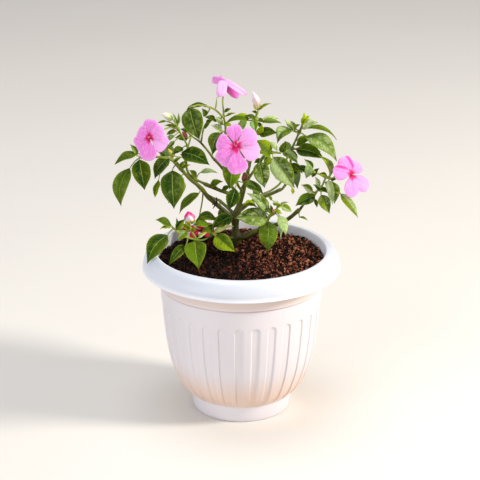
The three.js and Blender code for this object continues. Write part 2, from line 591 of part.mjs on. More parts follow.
      { root: [221, 209, 74], tip: [221, 223, 66], width: 10, turn: 30 },
    ] },
  spray_back_right: { limb: 'backRight',
    shoots: [[[262, 194.5, 78], [271, 190.5, 84], [281, 182, 90], [284, 168, 94], [290, 152, 96],
      [300, 147.5, 94]]],
    leaves: [
      { root: [281, 180, 91], tip: [275, 163, 106], width: 11, turn: 160 },
      { root: [288, 165, 95], tip: [298, 188, 104], width: 13, turn: 150 },
      { root: [290, 150, 97], tip: [284.5, 141, 104], width: 9, turn: 150 },
      { root: [301, 148, 94], tip: [321, 151, 86], width: 13, turn: 120 },
      { root: [257, 198, 74], tip: [253, 187, 88], width: 8, turn: 150 },
      { root: [259, 199, 74], tip: [262, 212, 88], width: 10, turn: 165 },
    ] },
  spray_back_top: { limb: 'backTop',
    shoots: [[[246, 152, 68], [243, 140, 76], [238, 130, 80]]],
    leaves: [
      { root: [238, 132, 81], tip: [228, 147, 96], width: 14, turn: 165 },
      { root: [244, 142, 77], tip: [254, 158, 92], width: 14, turn: 160 },
      { root: [246, 150, 71], tip: [232, 162, 88], width: 14, turn: 160 },
      { root: [238, 130, 80], tip: [245, 115, 86], width: 9, turn: 140 },
      { root: [241, 138, 79], tip: [255, 132, 92], width: 10, turn: 150 },
    ] },
};

// The point a small gap behind a bud, or behind the hub of a bloom on the side away from its spur
function holdPoint(name) {
  if (BUDS[name]) {
    const base = seen(BUDS[name].base);
    return base.addScaledVector(seen(BUDS[name].tip).sub(base).normalize(), -2 * GAP);
  }
  const { middle, facing, spur } = BLOOMS[name];
  const out = new THREE.Vector3(...facing).normalize();
  const aside = new THREE.Vector3(...spur);
  aside.addScaledVector(out, -aside.dot(out)).normalize();
  return seen(middle).addScaledVector(out, -HUB_BACK - 2 * GAP).addScaledVector(aside, -STALK_ASIDE);
}

function spray(name) {
  const { limb, shoots, leaves, radii = [SHOOT_RADIUS, 0.9], stalks = [] } = SPRAYS[name];
  const ways = shoots.map((way, i) => (i === 0 ? shootFrom(limb, way) : way.map(seen)));
  const twigs = ways.map((way, i) => (i === 0 ? stem(way, ...radii, 4) : stem(way, 1.1, 0.9, 4)));
  const holds = stalks.map(({ from, to }) => stem([...from.map(seen), holdPoint(to)], 0.9, 0.6, 4));
  return fused([...twigs, ...holds, ...leaves.map((row) => leaf(ways, row))]);
}

// Blooms

const PETAL_RIBS = [0, 0.5, 0.94];
const PETAL_EDGE = [[0.36, 0.66], [0.72, 1.02], [1, 0.5]];
const PETAL_STEP = 0.9;
const PETAL_START = 0.06;
const HUB_BACK = 1.6;
const HUB_FRONT = 2.6;
const HUB_RADIUS = 2.8;
const STALK_ASIDE = 2.2;

const BLOOMS = {
  bloom_centre: { middle: [236, 146, -30], facing: [-0.08, -0.93, 0.36], spur: [0.25, 0.6, -0.75],
    petals: [
      { tip: [233.5, 124.5], width: 15, layer: 0 },
      { tip: [255.5, 132.5], width: 17.5, layer: 1 },
      { tip: [259, 154], width: 18.5, layer: 0 },
      { tip: [238, 174], width: 19.5, layer: 1 },
      { tip: [219.5, 163.5], width: 17.5, layer: 0 },
      { tip: [216.5, 142], width: 17.5, layer: 1 },
    ] },
  bloom_left: { middle: [149.5, 137.5, -14], facing: [-0.3, -0.88, 0.38], spur: [0.45, 0.6, -0.65],
    petals: [
      { tip: [150.5, 118.5], width: 16, layer: 0 },
      { tip: [166, 130], width: 17, layer: 1 },
      { tip: [167.5, 148], width: 17, layer: 0 },
      { tip: [147, 161], width: 16, layer: 1 },
      { tip: [134.5, 147], width: 17, layer: 0 },
      { tip: [136.5, 130.5], width: 16, layer: 1 },
    ] },
  bloom_right: { middle: [351.4, 174.6, 14], facing: [0.35, -0.87, 0.36], spur: [0.4, 0.6, -0.7],
    petals: [
      { tip: [341, 157.5], width: 17.5, layer: 1 },
      { tip: [359.5, 160], width: 17.5, layer: 0 },
      { tip: [369, 187], width: 17.5, layer: 0 },
      { tip: [351, 197.5], width: 18.5, layer: 1 },
      { tip: [333, 171.5], width: 17, layer: 2 },
    ] },
  bloom_top: { middle: [224.6, 81.5, 34], facing: [0.3, -0.3, 0.9], spur: [-0.3, 0.5, -0.8],
    petals: [
      { root: [223, 80.5, 34.5], tip: [211.3, 79.8, 41], width: 7.6 },
      { root: [224.8, 80.8, 35], tip: [219.2, 75.2, 47], width: 2.6 },
      { root: [225.2, 82.2, 35], tip: [238.5, 98.3, 36], width: 10.5 },
      { root: [224.6, 80.2, 33], tip: [246.5, 94.8, 31], width: 6.6 },
      { root: [223.2, 80.4, 33], tip: [220.6, 97, 24], width: 10.2 },
    ] },
  bloom_crimson: { middle: [200, 230, 42], facing: [-0.1, -0.75, 0.65], spur: [0.9, 0.4, -0.3],
    petals: [
      { tip: [199, 220], width: 8, layer: 0 },
      { tip: [212, 224], width: 8, layer: 1 },
      { tip: [211, 236], width: 7, layer: 0 },
      { tip: [190, 237], width: 7, layer: 1 },
      { tip: [182, 227.5], width: 7, layer: 0 },
    ] },
};

// A petal in the bloom's flat face: its tip is a spot on that face, and its layer sets it forward
function flatPetal({ tip, layer }, centre, out) {
  const level = centre.clone().addScaledVector(out, layer * PETAL_STEP);
  const end = seenOnFace(tip, level, out);
  return { root: level.lerp(end, PETAL_START), tip: end, upright: out };
}

// A petal of a bloom that hangs open sideways: it has a root of its own and faces the viewer
function freePetal({ root, tip }) {
  const from = seen(root);
  return { root: from, tip: seen(tip), upright: EYE.clone().sub(from) };
}

function bloom(name) {
  const { middle, facing, spur, petals } = BLOOMS[name];
  const centre = seen(middle);
  const out = new THREE.Vector3(...facing).normalize();
  const blades = petals.map((row) => {
    const { root, tip, upright } = row.root ? freePetal(row) : flatPetal(row, centre, out);
    const along = tip.clone().sub(root).normalize();
    const face = upright.clone().addScaledVector(along, -upright.dot(along)).normalize();
    return blade({ root, tip, face, halfWidth: row.width / 2, fold: 0.1, arch: 0.07, ribs: PETAL_RIBS,
      edge: PETAL_EDGE, thick: PETAL });
  });
  const back = new THREE.Vector3(...spur).normalize();
  const hub = stem([
    centre.clone().addScaledVector(out, -HUB_BACK),
    centre.clone().addScaledVector(out, HUB_FRONT),
  ], HUB_RADIUS, 1.8, 5);
  const tail = stem([
    centre,
    centre.clone().addScaledVector(out, -5),
    centre.clone().addScaledVector(out, -8).addScaledVector(back, 17),
  ], 1.4, 0.6, 4);
  return fused([hub, tail, ...blades]);
}

// Buds: a pointed oval from base to tip
const BUDS = {
  bud_white: { base: [172, 118.5, 7], tip: [161, 113.8, 6], width: 6.5 },
  bud_pink: { base: [257.6, 108.5, 36], tip: [252.6, 91.5, 34], width: 7.5 },
  bud_yellow: { base: [173, 157, 10], tip: [168, 149, 8], width: 4.5 },
  bud_red: { base: [187, 137.5, 15], tip: [182, 131.5, 15], width: 4 },
  bud_opening: { base: [189.8, 223, -4], tip: [188, 211.3, -5], width: 11 },
  bud_withered: { base: [246, 173, 22], tip: [243, 183.5, 20], width: 6 },
};

function bud({ base, tip, width }) {
  const from = seen(base);
  const to = seen(tip);
  const shape = [[0, 0.4], [0.2, 0.85], [0.5, 1], [0.8, 0.6], [0.97, 0.16]];
  const along = to.clone().sub(from).normalize();
  const side = new THREE.Vector3(0.3, 0.5, 0.8).cross(along).normalize();
  const other = along.clone().cross(side);
  const rings = shape.map(([t, share]) => Array.from({ length: 5 }, (_, k) => {
    const angle = (2 * Math.PI * k) / 5;
    return from.clone().lerp(to, t)
      .addScaledVector(side, (Math.cos(angle) * share * width) / 2)
      .addScaledVector(other, (Math.sin(angle) * share * width) / 2);
  }));
  return ringedSolid(from, rings, to);
}

// The finished object

const PLASTIC = { color: 0xeeeef4, roughness: 0.35 };
const SOIL = { color: 0x38221c, roughness: 1 };
const BARK = { color: 0x5b5a24, roughness: 0.7 };
const GREEN = { color: 0x3d6b25, roughness: 0.5 };
const PINK = { color: 0xf29ae4, roughness: 0.5 };
const CRIMSON = { color: 0xb3202c, roughness: 0.5 };
const BUD_COLOURS = { bud_white: 0xdde6c4, bud_pink: 0xf3c3dd, bud_yellow: 0xb9a83a, bud_red: 0xc44b52,
  bud_opening: 0xe8338c, bud_withered: 0x7c3a22 };

function meshOf(name, solid, material) {
  const { vertProperties, triVerts } = solid.getMesh();
  const geometry = new THREE.BufferGeometry();
  geometry.setAttribute('position', new THREE.BufferAttribute(new Float32Array(vertProperties), 3));
  geometry.setIndex(new THREE.BufferAttribute(new Uint32Array(triVerts), 1));
  geometry.computeVertexNormals();
  const mesh = new THREE.Mesh(geometry, new THREE.MeshStandardMaterial({ metalness: 0, ...material }));
  mesh.name = name;
  return mesh;
}

const balsam = new THREE.Group();
balsam.add(meshOf('pot', pot(), PLASTIC));
balsam.add(meshOf('soil', soil(), SOIL));
balsam.add(meshOf('stems', stems(), BARK));
for (const name of Object.keys(SPRAYS)) {
  balsam.add(meshOf(name, spray(name), GREEN));
}
for (const name of Object.keys(BLOOMS)) {
  balsam.add(meshOf(name, bloom(name), name === 'bloom_crimson' ? CRIMSON : PINK));
}
for (const [name, row] of Object.entries(BUDS)) {
  balsam.add(meshOf(name, bud(row), { color: BUD_COLOURS[name], roughness: 0.5 }));
}

// The origin is under the middle of the whole object, at the foot of the planter
const bounds = new THREE.Box3().setFromObject(balsam);
const middleOfAll = bounds.getCenter(new THREE.Vector3());
balsam.position.set(-middleOfAll.x, -middleOfAll.y, -bounds.min.z);

export default balsam;
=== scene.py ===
# %% [markdown]
# # A potted garden balsam
#
# The object is a white plastic planter with a fluted side and a rolled rim, filled with crumbly
# soil, and one bushy balsam in flower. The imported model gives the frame: where every part is and
# how large it is. This script gives the looks. Each piece that it makes stands for one node of the
# model and stays where that node is.

# %% The frame and the tools
import math

import bmesh
import bpy
import numpy as np
from mathutils import Matrix, Vector, noise


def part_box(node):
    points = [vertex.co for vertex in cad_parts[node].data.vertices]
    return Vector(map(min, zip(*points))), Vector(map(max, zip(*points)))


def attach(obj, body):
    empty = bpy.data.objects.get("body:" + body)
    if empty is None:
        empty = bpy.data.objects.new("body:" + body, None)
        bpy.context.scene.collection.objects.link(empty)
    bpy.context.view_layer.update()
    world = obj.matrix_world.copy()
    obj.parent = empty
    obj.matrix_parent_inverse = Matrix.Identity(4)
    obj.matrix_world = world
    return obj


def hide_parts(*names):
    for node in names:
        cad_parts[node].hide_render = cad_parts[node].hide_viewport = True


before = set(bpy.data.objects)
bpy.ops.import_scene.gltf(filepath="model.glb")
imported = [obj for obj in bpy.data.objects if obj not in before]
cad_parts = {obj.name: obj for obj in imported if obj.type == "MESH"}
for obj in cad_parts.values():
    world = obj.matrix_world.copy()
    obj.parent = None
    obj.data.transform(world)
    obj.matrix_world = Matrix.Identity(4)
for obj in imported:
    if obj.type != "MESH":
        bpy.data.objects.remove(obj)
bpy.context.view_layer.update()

MM = 0.001
pot_low, pot_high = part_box("pot")
AXIS = np.array([(pot_low.x + pot_high.x) / 2, (pot_low.y + pot_high.y) / 2, 0.0])
print("planter's axis in the frame, m:", AXIS.round(4))


def placed(name, data):
    """An object of the scene for a mesh, a lamp or a camera."""
    made = bpy.data.objects.new(name, data)
    bpy.context.scene.collection.objects.link(made)
    return made


# %% [markdown]
# ## The camera
#
# A camera could be placed by eye until the view looks right. Here it is worked out instead: the
# planter's rim shows as an ellipse, and the ellipse's shape gives the angle that it is seen from.
# The tilt is 20.67 degrees downwards, from two metres away, with a long lens. Everything about the
# plant is given in millimetres from the planter's axis, and only the last step turns it to metres.

# %% The camera
PICTURE = 480
SENSOR = 36.0
TILT = math.radians(20.67)
DISTANCE = 2000.0
TARGET = np.array([-1.28, 0.0, 179.5])
FOCAL = 1984.4
UP = np.array([0.0, math.sin(TILT), math.cos(TILT)])
BACK = np.array([0.0, -math.cos(TILT), math.sin(TILT)])
EYE = TARGET + DISTANCE * BACK


def to_frame(points):
    return np.asarray(points) * MM + AXIS


camera_data = bpy.data.cameras.new("camera")
camera_data.sensor_width = SENSOR
camera_data.lens = FOCAL / PICTURE * SENSOR
camera = placed("camera", camera_data)
camera.location = Vector(to_frame(EYE))
camera.rotation_euler = (math.pi / 2 - TILT, 0, 0)
bpy.context.scene.camera = camera
print("lens, mm:", round(camera_data.lens, 2))


# %% [markdown]
# ## Points on sight lines
#
# A leaf could be placed with three numbers of its own, but then nothing ties it to the view. Each
# point of the plant is given as a column and a row of the picture, 480 by 480, and a depth behind
# the planter's axis in millimetres. The sight line through that column and row meets the depth at
# one point in space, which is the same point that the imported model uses.

# %% Points on sight lines
def sight_line(column, row):
    across = (column - PICTURE / 2) / FOCAL
    upward = (PICTURE / 2 - row) / FOCAL
    return np.array([across, 0.0, 0.0]) + UP * upward - BACK


def seen(spot):
    column, row, depth = spot
    line = sight_line(column, row)
    return EYE + line * (depth - EYE[1]) / line[1]


def seen_on_face(spot, centre, normal):
    line = sight_line(*spot)
    return EYE + line * np.dot(centre - EYE, normal) / np.dot(line, normal)


def seen_way(text):
    """The points of a way that is written as spots with commas between them."""
    return [seen(map(float, spot.split())) for spot in text.split(",")]


def unit(vector):
    return vector / np.linalg.norm(vector)


print("the middle of the picture at the axis, mm:", seen((240, 240, 0)).round(2))


# %% [markdown]
# ## A notebook for finishes
#
# A finish is a tree of shader nodes. Trees wired one link at a time are hard to read, so a small
# class wraps a socket and lets plain sums stand for Math nodes. One method makes every other node:
# it takes the node's type, its settings and the values of its sockets. A colour is written as six
# hex digits.

# %% A notebook for finishes
def rgb(text):
    """A colour written as six hex digits, as the light that a shader works with."""
    values = np.array([int(text[i : i + 2], 16) for i in (0, 2, 4)]) / 255
    return np.where(values <= 0.04045, values / 12.92, ((values + 0.055) / 1.055) ** 2.4)


class Wire:
    def __init__(self, finish, socket):
        self.finish = finish
        self.socket = socket

    def maths(self, operation, *values):
        return self.finish.node("Math", {"operation": operation}, dict(enumerate(values)))

    __add__ = __radd__ = lambda self, other: self.maths("ADD", self, other)
    __mul__ = __rmul__ = lambda self, other: self.maths("MULTIPLY", self, other)
    __sub__ = lambda self, other: self.maths("SUBTRACT", self, other)
    __rsub__ = lambda self, other: self.maths("SUBTRACT", other, self)
    __truediv__ = lambda self, other: self.maths("DIVIDE", self, other)
    __pow__ = lambda self, other: self.maths("POWER", self, other)
    __abs__ = lambda self: self.maths("ABSOLUTE", self)

    def between(self, low, high, start=0.0, end=1.0):
        """0 below low and 1 above high, with a soft step between, then spread from start to end."""
        settings = {"interpolation_type": "SMOOTHSTEP"}
        return self.finish.node("MapRange", settings, {0: self, 1: low, 2: high, 3: start, 4: end})


class Finish:
    def __init__(self, name, **shader):
        self.material = bpy.data.materials.new(name)
        self.material.use_nodes = True
        self.tree = self.material.node_tree
        self.shader = self.tree.nodes["Principled BSDF"]
        for socket, value in shader.items():
            self.dress(socket.replace("_", " "), value)

    def dress(self, socket, value):
        self.set(self.shader.inputs[socket], value)

    def set(self, socket, value):
        if isinstance(value, Wire):
            self.tree.links.new(value.socket, socket)
        else:
            socket.default_value = (*rgb(value), 1.0) if isinstance(value, str) else value

    def node(self, kind, settings, sockets, output=0):
        made = self.tree.nodes.new("ShaderNode" + kind)
        for name, value in settings.items():
            setattr(made, name, value)
        for name, value in sockets.items():
            self.set(made.inputs[name], value)
        return Wire(self, made.outputs[output])

    def ramp(self, share, stops):
        """A colour ramp with its stops as {place: colour}."""
        wire = self.node("ValToRGB", {}, {0: share})
        elements = wire.socket.node.color_ramp.elements
        while len(elements) < len(stops):
            elements.new(0.5)
        for element, (place, colour) in zip(elements, stops.items()):
            element.position = place
            element.color = (*rgb(colour), 1.0)
        return wire

    def layered(self, colour, *layers):
        """The colour under layers, which are pairs of a colour and the share that it covers."""
        for over, share in layers:
            colour = self.node("Mix", {"data_type": "RGBA"}, {0: share, 6: colour, 7: over}, output=2)
        return colour

    def noise(self, scale, detail=3.0, roughness=0.5, where=None):
        sockets = {"Scale": scale, "Detail": detail, "Roughness": roughness}
        sockets["Vector"] = where or self.place()
        return self.node("TexNoise", {}, sockets)

    def place(self):
        return self.node("TexCoord", {}, {}, output="Object")

    def laid(self, name, output="Vector"):
        return self.node("Attribute", {"attribute_name": name}, {}, output=output)

    def parts(self, vector):
        split = self.node("SeparateXYZ", {}, {0: vector}).socket.node
        return [Wire(self, output) for output in split.outputs]

    def bump(self, height, strength, distance):
        sockets = {"Height": height, "Strength": strength, "Distance": distance}
        self.dress("Normal", self.node("Bump", {}, sockets, output="Normal"))


print("a mid grey as light:", round(rgb("808080")[0], 3))


# %% [markdown]
# ## Skins
#
# A leafy stem has dozens of blades and stalks that move as one, so they are gathered in one mesh.
# A skin collects them, each with a tone, which is its own colour, and a lay, which says where on
# the blade a point is. Both go with the mesh as attributes, so the finish can draw veins that
# follow every single leaf. Every body is made of quads between the neighbours in a grid of points,
# and closed with fans of triangles.

# %% Skins
class Skin:
    def __init__(self):
        self.points, self.faces, self.tones, self.lays = [], [], [], []
        self.count = 0

    def add(self, points, faces, tone=(1.0, 1.0, 1.0), lay=(0.0, 0.0, 0.0)):
        points = np.asarray(points, float).reshape(-1, 3)
        self.points.append(points)
        self.faces.extend([tuple(int(i) + self.count for i in face) for face in faces])
        self.tones.append(np.broadcast_to(np.asarray(tone, float), points.shape))
        self.lays.append(np.broadcast_to(np.asarray(lay, float), points.shape))
        self.count += len(points)

    def piece(self, name, finish, slot, *nodes, crease=180.0):
        mesh = bpy.data.meshes.new(name)
        mesh.from_pydata(to_frame(np.concatenate(self.points)).tolist(), [], self.faces)
        mesh.update()
        tone = mesh.color_attributes.new("tone", "FLOAT_COLOR", "POINT")
        colours = np.c_[np.concatenate(self.tones), np.ones(self.count)]
        tone.data.foreach_set("color", colours.ravel().astype(np.float32))
        lay = mesh.attributes.new("lay", "FLOAT_VECTOR", "POINT")
        lay.data.foreach_set("vector", np.concatenate(self.lays).ravel().astype(np.float32))
        mesh.polygons.foreach_set("use_smooth", [True] * len(mesh.polygons))
        mesh.set_sharp_from_angle(angle=math.radians(crease))
        mesh.materials.append(finish.material)
        made = placed(name, mesh)
        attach(made, "root")
        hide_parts(*nodes)
        print(f"{name}: {len(mesh.polygons)} faces")


def numbers(rows, columns, start=0):
    return start + np.arange(rows * columns).reshape(rows, columns)


def quads(grid):
    """Quads between the neighbours in a grid of point numbers."""
    return [
        (grid[i, j], grid[i, j + 1], grid[i + 1, j + 1], grid[i + 1, j])
        for i in range(grid.shape[0] - 1)
        for j in range(grid.shape[1] - 1)
    ]


def turned_over(faces):
    return [(face[0], *face[:0:-1]) for face in faces]


def fan(tip, loop):
    """Triangles between a tip and a closed loop of point numbers."""
    return [(tip, a, b) for a, b in zip(loop, np.roll(loop, -1))]


def ring_faces(rings, sides):
    """Quads between rings of points, each with the same number of points."""
    grid = numbers(rings, sides)
    return quads(np.c_[grid, grid[:, :1]])


def ring(middle, side, other, radius, sides):
    """Points round a middle. The radius may change on the way round."""
    angles = 2 * math.pi * np.arange(sides) / sides
    return middle + np.outer(radius * np.cos(angles), side) + np.outer(radius * np.sin(angles), other)


def smooth_through(points, steps):
    """Points of a smooth curve through the given ones, with `steps` of them to each stretch."""
    points = np.asarray(points, float)
    ends = np.concatenate([[2 * points[0] - points[1]], points, [2 * points[-1] - points[-2]]])
    t = np.arange(steps)[:, None] / steps
    curve = [
        0.5 * (2 * b + (c - a) * t + (2 * a - 5 * b + 4 * c - d) * t**2 + (3 * b - a - 3 * c + d) * t**3)
        for a, b, c, d in zip(ends, ends[1:], ends[2:], ends[3:])
    ]
    return np.concatenate([*curve, points[-1:]])


# %% [markdown]
# ## The planter
#
# The real planter is moulded, so it is the same all the way round but for its flutes. Spinning an
# outline is the usual way to make such a form, and a boolean could then cut the flutes. Here the
# flutes are part of the spun surface: each ring of points asks how far it is inside the outline of
# the nearest flute, and steps inwards there. That gives the soft edges and the round top ends that
# the mould has, without a cut.

# %% The planter's outline
FLUTES = 30
FLUTE_PITCH = 2 * math.pi / FLUTES
FLUTE_SHARE = 0.56
FLUTE_FOOT = 18.6
FLUTE_TOP = 115.8
FLUTE_DEPTH = 1.3
FLUTE_EDGE = 1.0
FLUTE_TURN = math.radians(-91.6)
BODY_SHAPE = [(FLUTE_FOOT, 53.2), (20.4, 55.0), (26.7, 61.2), (34, 65.4), (42, 68.7), (54.7, 72.9),
              (71.4, 76.2), (92, 78.8), (FLUTE_TOP, 80.8), (135, 82.4)]
body_curve = smooth_through(BODY_SHAPE, 12)


def body_radius(z):
    return np.interp(z, *body_curve.T)


def flute_depth(z, angle):
    """How far the wall steps in at a height and an angle."""
    offset = (angle - FLUTE_TURN + FLUTE_PITCH / 2) % FLUTE_PITCH - FLUTE_PITCH / 2
    half_width = FLUTE_SHARE * FLUTE_PITCH * body_radius(z) / 2
    beside = np.abs(offset) * body_radius(z)
    above = max(0.0, z - (FLUTE_TOP - half_width))
    inside = np.clip((half_width - np.hypot(beside, above)) / FLUTE_EDGE, 0, 1)
    return FLUTE_DEPTH * inside**2 * (3 - 2 * inside) * min(1.0, (z - FLUTE_FOOT) / 4)


# outlines are lists of (radius, height)
fluted_heights = [FLUTE_FOOT, 19.4, 20.6, 22.4, 24.6, 27, 30, 33.5, 37.5, 42, 47, 53, 60, 68, 77, 86, 95,
                  103, 108, *np.arange(109.4, 117.4, 0.55)]
foot_outline = [(44.4, 4), (44.7, 1.2), (45.3, 0.25), (46.2, 0), (47.6, 0), (48.6, 0.3), (49.3, 1.1),
                (50, 2.6), (51, 9), (52, 16.6), (52.3, 18)]
rim_outline = [(81.6, 125), (82.1, 132.4), (82.1, 133.6), (81.7, 134.2), (81.7, 135), (82.2, 135.5),
               (83.4, 135.8), (83.8, 136.3), (83.9, 137), (85.2, 146), (87.4, 158), (88, 161),
               (89, 162.6), (90.8, 162.8), (93.2, 161), (95.6, 156.6), (97.2, 153), (98, 151.6),
               (98.9, 151.1), (99.7, 151.2), (100.1, 151.7), (100.1, 152.4), (99.7, 153.2),
               (99.3, 154.2), (99.1, 155.6)]
# the lip is a quarter of an ellipse
LIP_MIDDLE, LIP_REACH = (87, 152.4), (12.6, 18.1)
rim_outline += [
    (LIP_MIDDLE[0] + LIP_REACH[0] * math.cos(lift), LIP_MIDDLE[1] + LIP_REACH[1] * math.sin(lift))
    for lift in map(math.radians, range(15, 91, 5))
]
inner_outline = [(86.2, 170.2), (85.7, 169.5), (85.4, 168.4), (85, 165), (83.8, 158), (80.4, 140),
                 (77.6, 115.8), (69.6, 54.7), (60.6, 30), (54, 22), (49.6, 19), (47, 8), (46.2, 6.6)]


# %% The planter's wall
# points are closest where a flute's edge steps in, at 1 on this scale from the flute's middle
half_flute = np.array([0.2, 0.42, 0.62, 0.74, 0.84, 0.93, 1.02, 1.12, 1.26, 1.5])
across_flute = np.r_[-half_flute[::-1], 0, half_flute]
offsets = across_flute * FLUTE_SHARE * FLUTE_PITCH / 2
pot_angles = np.concatenate([FLUTE_TURN + FLUTE_PITCH * flute + offsets for flute in range(FLUTES)])


def turned_wall(outline, stepped=False):
    """Rings of a spun surface. A stepped one has the flutes."""
    rings = []
    for radius, z in outline:
        r = radius - (flute_depth(z, pot_angles) if stepped else 0 * pot_angles)
        rings.append(np.c_[r * np.cos(pot_angles), r * np.sin(pot_angles), z + 0 * pot_angles])
    return rings


planter = Skin()
wall_rings = (
    turned_wall(foot_outline)
    + turned_wall([(body_radius(z), z) for z in fluted_heights], stepped=True)
    + turned_wall(rim_outline + inner_outline + foot_outline[:1])
)
planter.add(np.concatenate(wall_rings), ring_faces(len(wall_rings), len(pot_angles)))
print("rings of the wall:", len(wall_rings))


# %% [markdown]
# The floor of the planter has five drain holes. A boolean could cut them, but a plain floor is
# easier to build round the holes: each fifth of the floor is a fan of points between its hole and
# its own outline, with the upper and the lower face made alike.

# %% The planter's floor
DRAIN_HOLES = 5
DRAIN_RADIUS = 4.0
DRAIN_CIRCLE = 28.0
FLOOR_RADIUS = 46.25
FLOOR_TOP, FLOOR_UNDER, FLOOR_BEVEL = 6.6, 4.0, 0.3
FLOOR_RAYS = 48


def floor_piece(start, end):
    """A fifth of the floor: matching points round its drain hole and round its own outline, and
    for each whether it lies on the round edge."""
    middle, half = (start + end) / 2, (end - start) / 2
    hole = DRAIN_CIRCLE * np.array([math.cos(middle), math.sin(middle)])
    to_corner = math.atan2(FLOOR_RADIUS * math.sin(half), FLOOR_RADIUS * math.cos(half) - DRAIN_CIRCLE)
    turns = [2 * math.pi * k / FLOOR_RAYS for k in range(1 - FLOOR_RAYS // 2, FLOOR_RAYS // 2 + 1)]
    inner, outer, edge = [], [], []
    for turn in sorted([*turns, to_corner, -to_corner]):
        ray = np.array([math.cos(middle + turn), math.sin(middle + turn)])
        inner.append(hole + DRAIN_RADIUS * ray)
        # the ray runs on until it meets the floor's edge or one of the two straight sides
        along = np.dot(hole, ray)
        reach = [-along + math.sqrt(along**2 + FLOOR_RADIUS**2 - DRAIN_CIRCLE**2)]
        for side, sign in ((start, 1), (end, -1)):
            normal = sign * np.array([-math.sin(side), math.cos(side)])
            if np.dot(ray, normal) < -1e-6:
                reach.append(-np.dot(hole, normal) / np.dot(ray, normal))
        outer.append(hole + min(reach) * ray)
        edge.append(abs(turn) <= to_corner + 1e-6)
    return np.array(inner), np.array(outer), edge


for fifth in range(DRAIN_HOLES):
    start = 2 * math.pi * (fifth - 0.5) / DRAIN_HOLES
    inner, outer, edge = floor_piece(start, start + 2 * math.pi / DRAIN_HOLES)
    near = inner * 0.97 + outer * 0.03
    rings = [(outer, FLOOR_TOP), (near, FLOOR_TOP), (inner, FLOOR_TOP - FLOOR_BEVEL),
             (inner, FLOOR_UNDER + FLOOR_BEVEL), (near, FLOOR_UNDER), (outer, FLOOR_UNDER)]
    points = np.concatenate([np.c_[flat, np.full(len(flat), z)] for flat, z in rings])
    # the round edge, which lies inside the wall, joins the lower face to the upper
    last = numbers(1, len(edge), len(points) - len(edge))[0]
    closing = [(last[i], last[i + 1], i + 1, i) for i in range(len(edge) - 1) if edge[i] and edge[i + 1]]
    planter.add(points, ring_faces(len(rings), len(edge)) + closing)


# %% [markdown]
# ## The planter's finish
#
# The planter is white moulded plastic with a soft gloss. Pure white would look like paper, so the
# wall is a pale warm grey with slow changes. Light and shade are painted on it as well: a warm bounce
# light on the lower wall, painted shade in the band under the rim with a painted shadow line at its
# step, a cooler rim as if lit by the sky with painted shade on its upper part, and painted light on
# the rim's inner face. A fine grain breaks the highlights.

# %% The planter's finish
plastic = Finish("planter_plastic", IOR=1.46, Coat_Weight=0.15, Coat_Roughness=0.2)
spot = plastic.parts(plastic.place())
cloud = plastic.noise(9.0, 4.0)
grain = plastic.noise(420.0, 3.0, 0.6)
height = spot[2] * 1000
from_axis = ((spot[0] - AXIS[0]) ** 2.0 + (spot[1] - AXIS[1]) ** 2.0) ** 0.5 * 1000
is_rim = height.between(150.2, 151.2)
# the rim is cooler than the wall, painted light from a blue sky, and its upper part is darker, painted shade
rim_sky_and_shade = plastic.layered("eeeff5", ("d8dbe4", height.between(152.0, 156.5)))
plastic.dress("Base Color", plastic.layered(
    "dfd8dc",
    ("d9d2d6", cloud.between(0.35, 0.7)),
    # painted warm bounce light on the lower wall, strongest just above the foot
    ("e2c6b6", height.between(17.5, 19.0) * (1.0 - height.between(24.0, 66.0))),
    ("e2dce1", 1.0 - height.between(17.0, 18.5)),
    # painted shade in the band under the rim
    ("d8c2b6", height.between(134.6, 140.0) * 0.75),
    # a painted shadow line in the small groove at the step under the rim
    ("b98f88", height.between(133.2, 134.4) * (1.0 - height.between(135.0, 136.2)) * 0.5),
    (rim_sky_and_shade, is_rim),
    # painted light on the rim's inner face and inner edge
    ("f4f5fb", (1.0 - from_axis.between(86.6, 88.2)) * is_rim),
))
plastic.dress("Roughness", 0.24 + cloud * 0.14 + grain * 0.05)
plastic.bump(grain * 0.35 + cloud, 0.1, 0.0005)
planter.piece("planter", plastic, "planter", "pot", crease=60.0)


# %% [markdown]
# ## The soil
#
# Moist potting soil is a heap of crumbs from dust to pea size, with dark gaps between. A bumpy disc
# alone reads as mud. So a rough bed fills the planter, and some thousands of crumbs lie on it, each
# a ball of few faces that is squeezed and knocked about by its own draw.

# %% The bed of soil
SOIL_LEVEL = 159.5
BED_UNDER = 7.4
BED_SIDES = 150
BED_RADIUS, BED_INNERMOST, BED_RINGS = 83.3, 1.6, 58
TRUNK_FOOT = np.array([-5.0, 36.0])


def soil_height(x, y):
    mound = 4.0 * np.exp(-(((x - TRUNK_FOOT[0]) ** 2 + (y - TRUNK_FOOT[1]) ** 2) / 32**2))
    broad = noise.noise(Vector((x / 26, y / 26, 3.1))) * 1.6
    fine = noise.noise(Vector((x / 5, y / 5, 8.7))) * 1.1
    heaped = 2.6 * min(1.0, max(0.0, (x + y) / 100))
    return SOIL_LEVEL - 1.4 + mound + broad + fine + heaped


bed = Skin()
# the sides have heights of their own, and the top asks for the soil's height
bed_rings = [(46.0, BED_UNDER), (49.2, 19.4), (60.2, 30.3), (69.2, 55.0), (77.2, 116.1), (80, 140.3),
             (83, 156)]
bed_rings += [(radius, None) for radius in np.linspace(BED_RADIUS, BED_INNERMOST, BED_RINGS)]
bed_points = []
for radius, z in bed_rings:
    for k in range(BED_SIDES):
        angle = 2 * math.pi * k / BED_SIDES
        x, y = radius * math.cos(angle), radius * math.sin(angle)
        bed_points.append((x, y, soil_height(x, y) if z is None else z))
around = np.arange(1, BED_SIDES + 1)
bed.add(bed_points, ring_faces(len(bed_rings), BED_SIDES))
bed.add([(0, 0, soil_height(0, 0))] + bed_points[-BED_SIDES:], fan(0, around))
bed.add([(0, 0, BED_UNDER)] + bed_points[:BED_SIDES], fan(0, around[::-1]))


# %% The crumbs
STREWN_RADIUS = 82.6
CRUMB_EDGE = 85.2
CLEAR_OF_TRUNK = 6.5


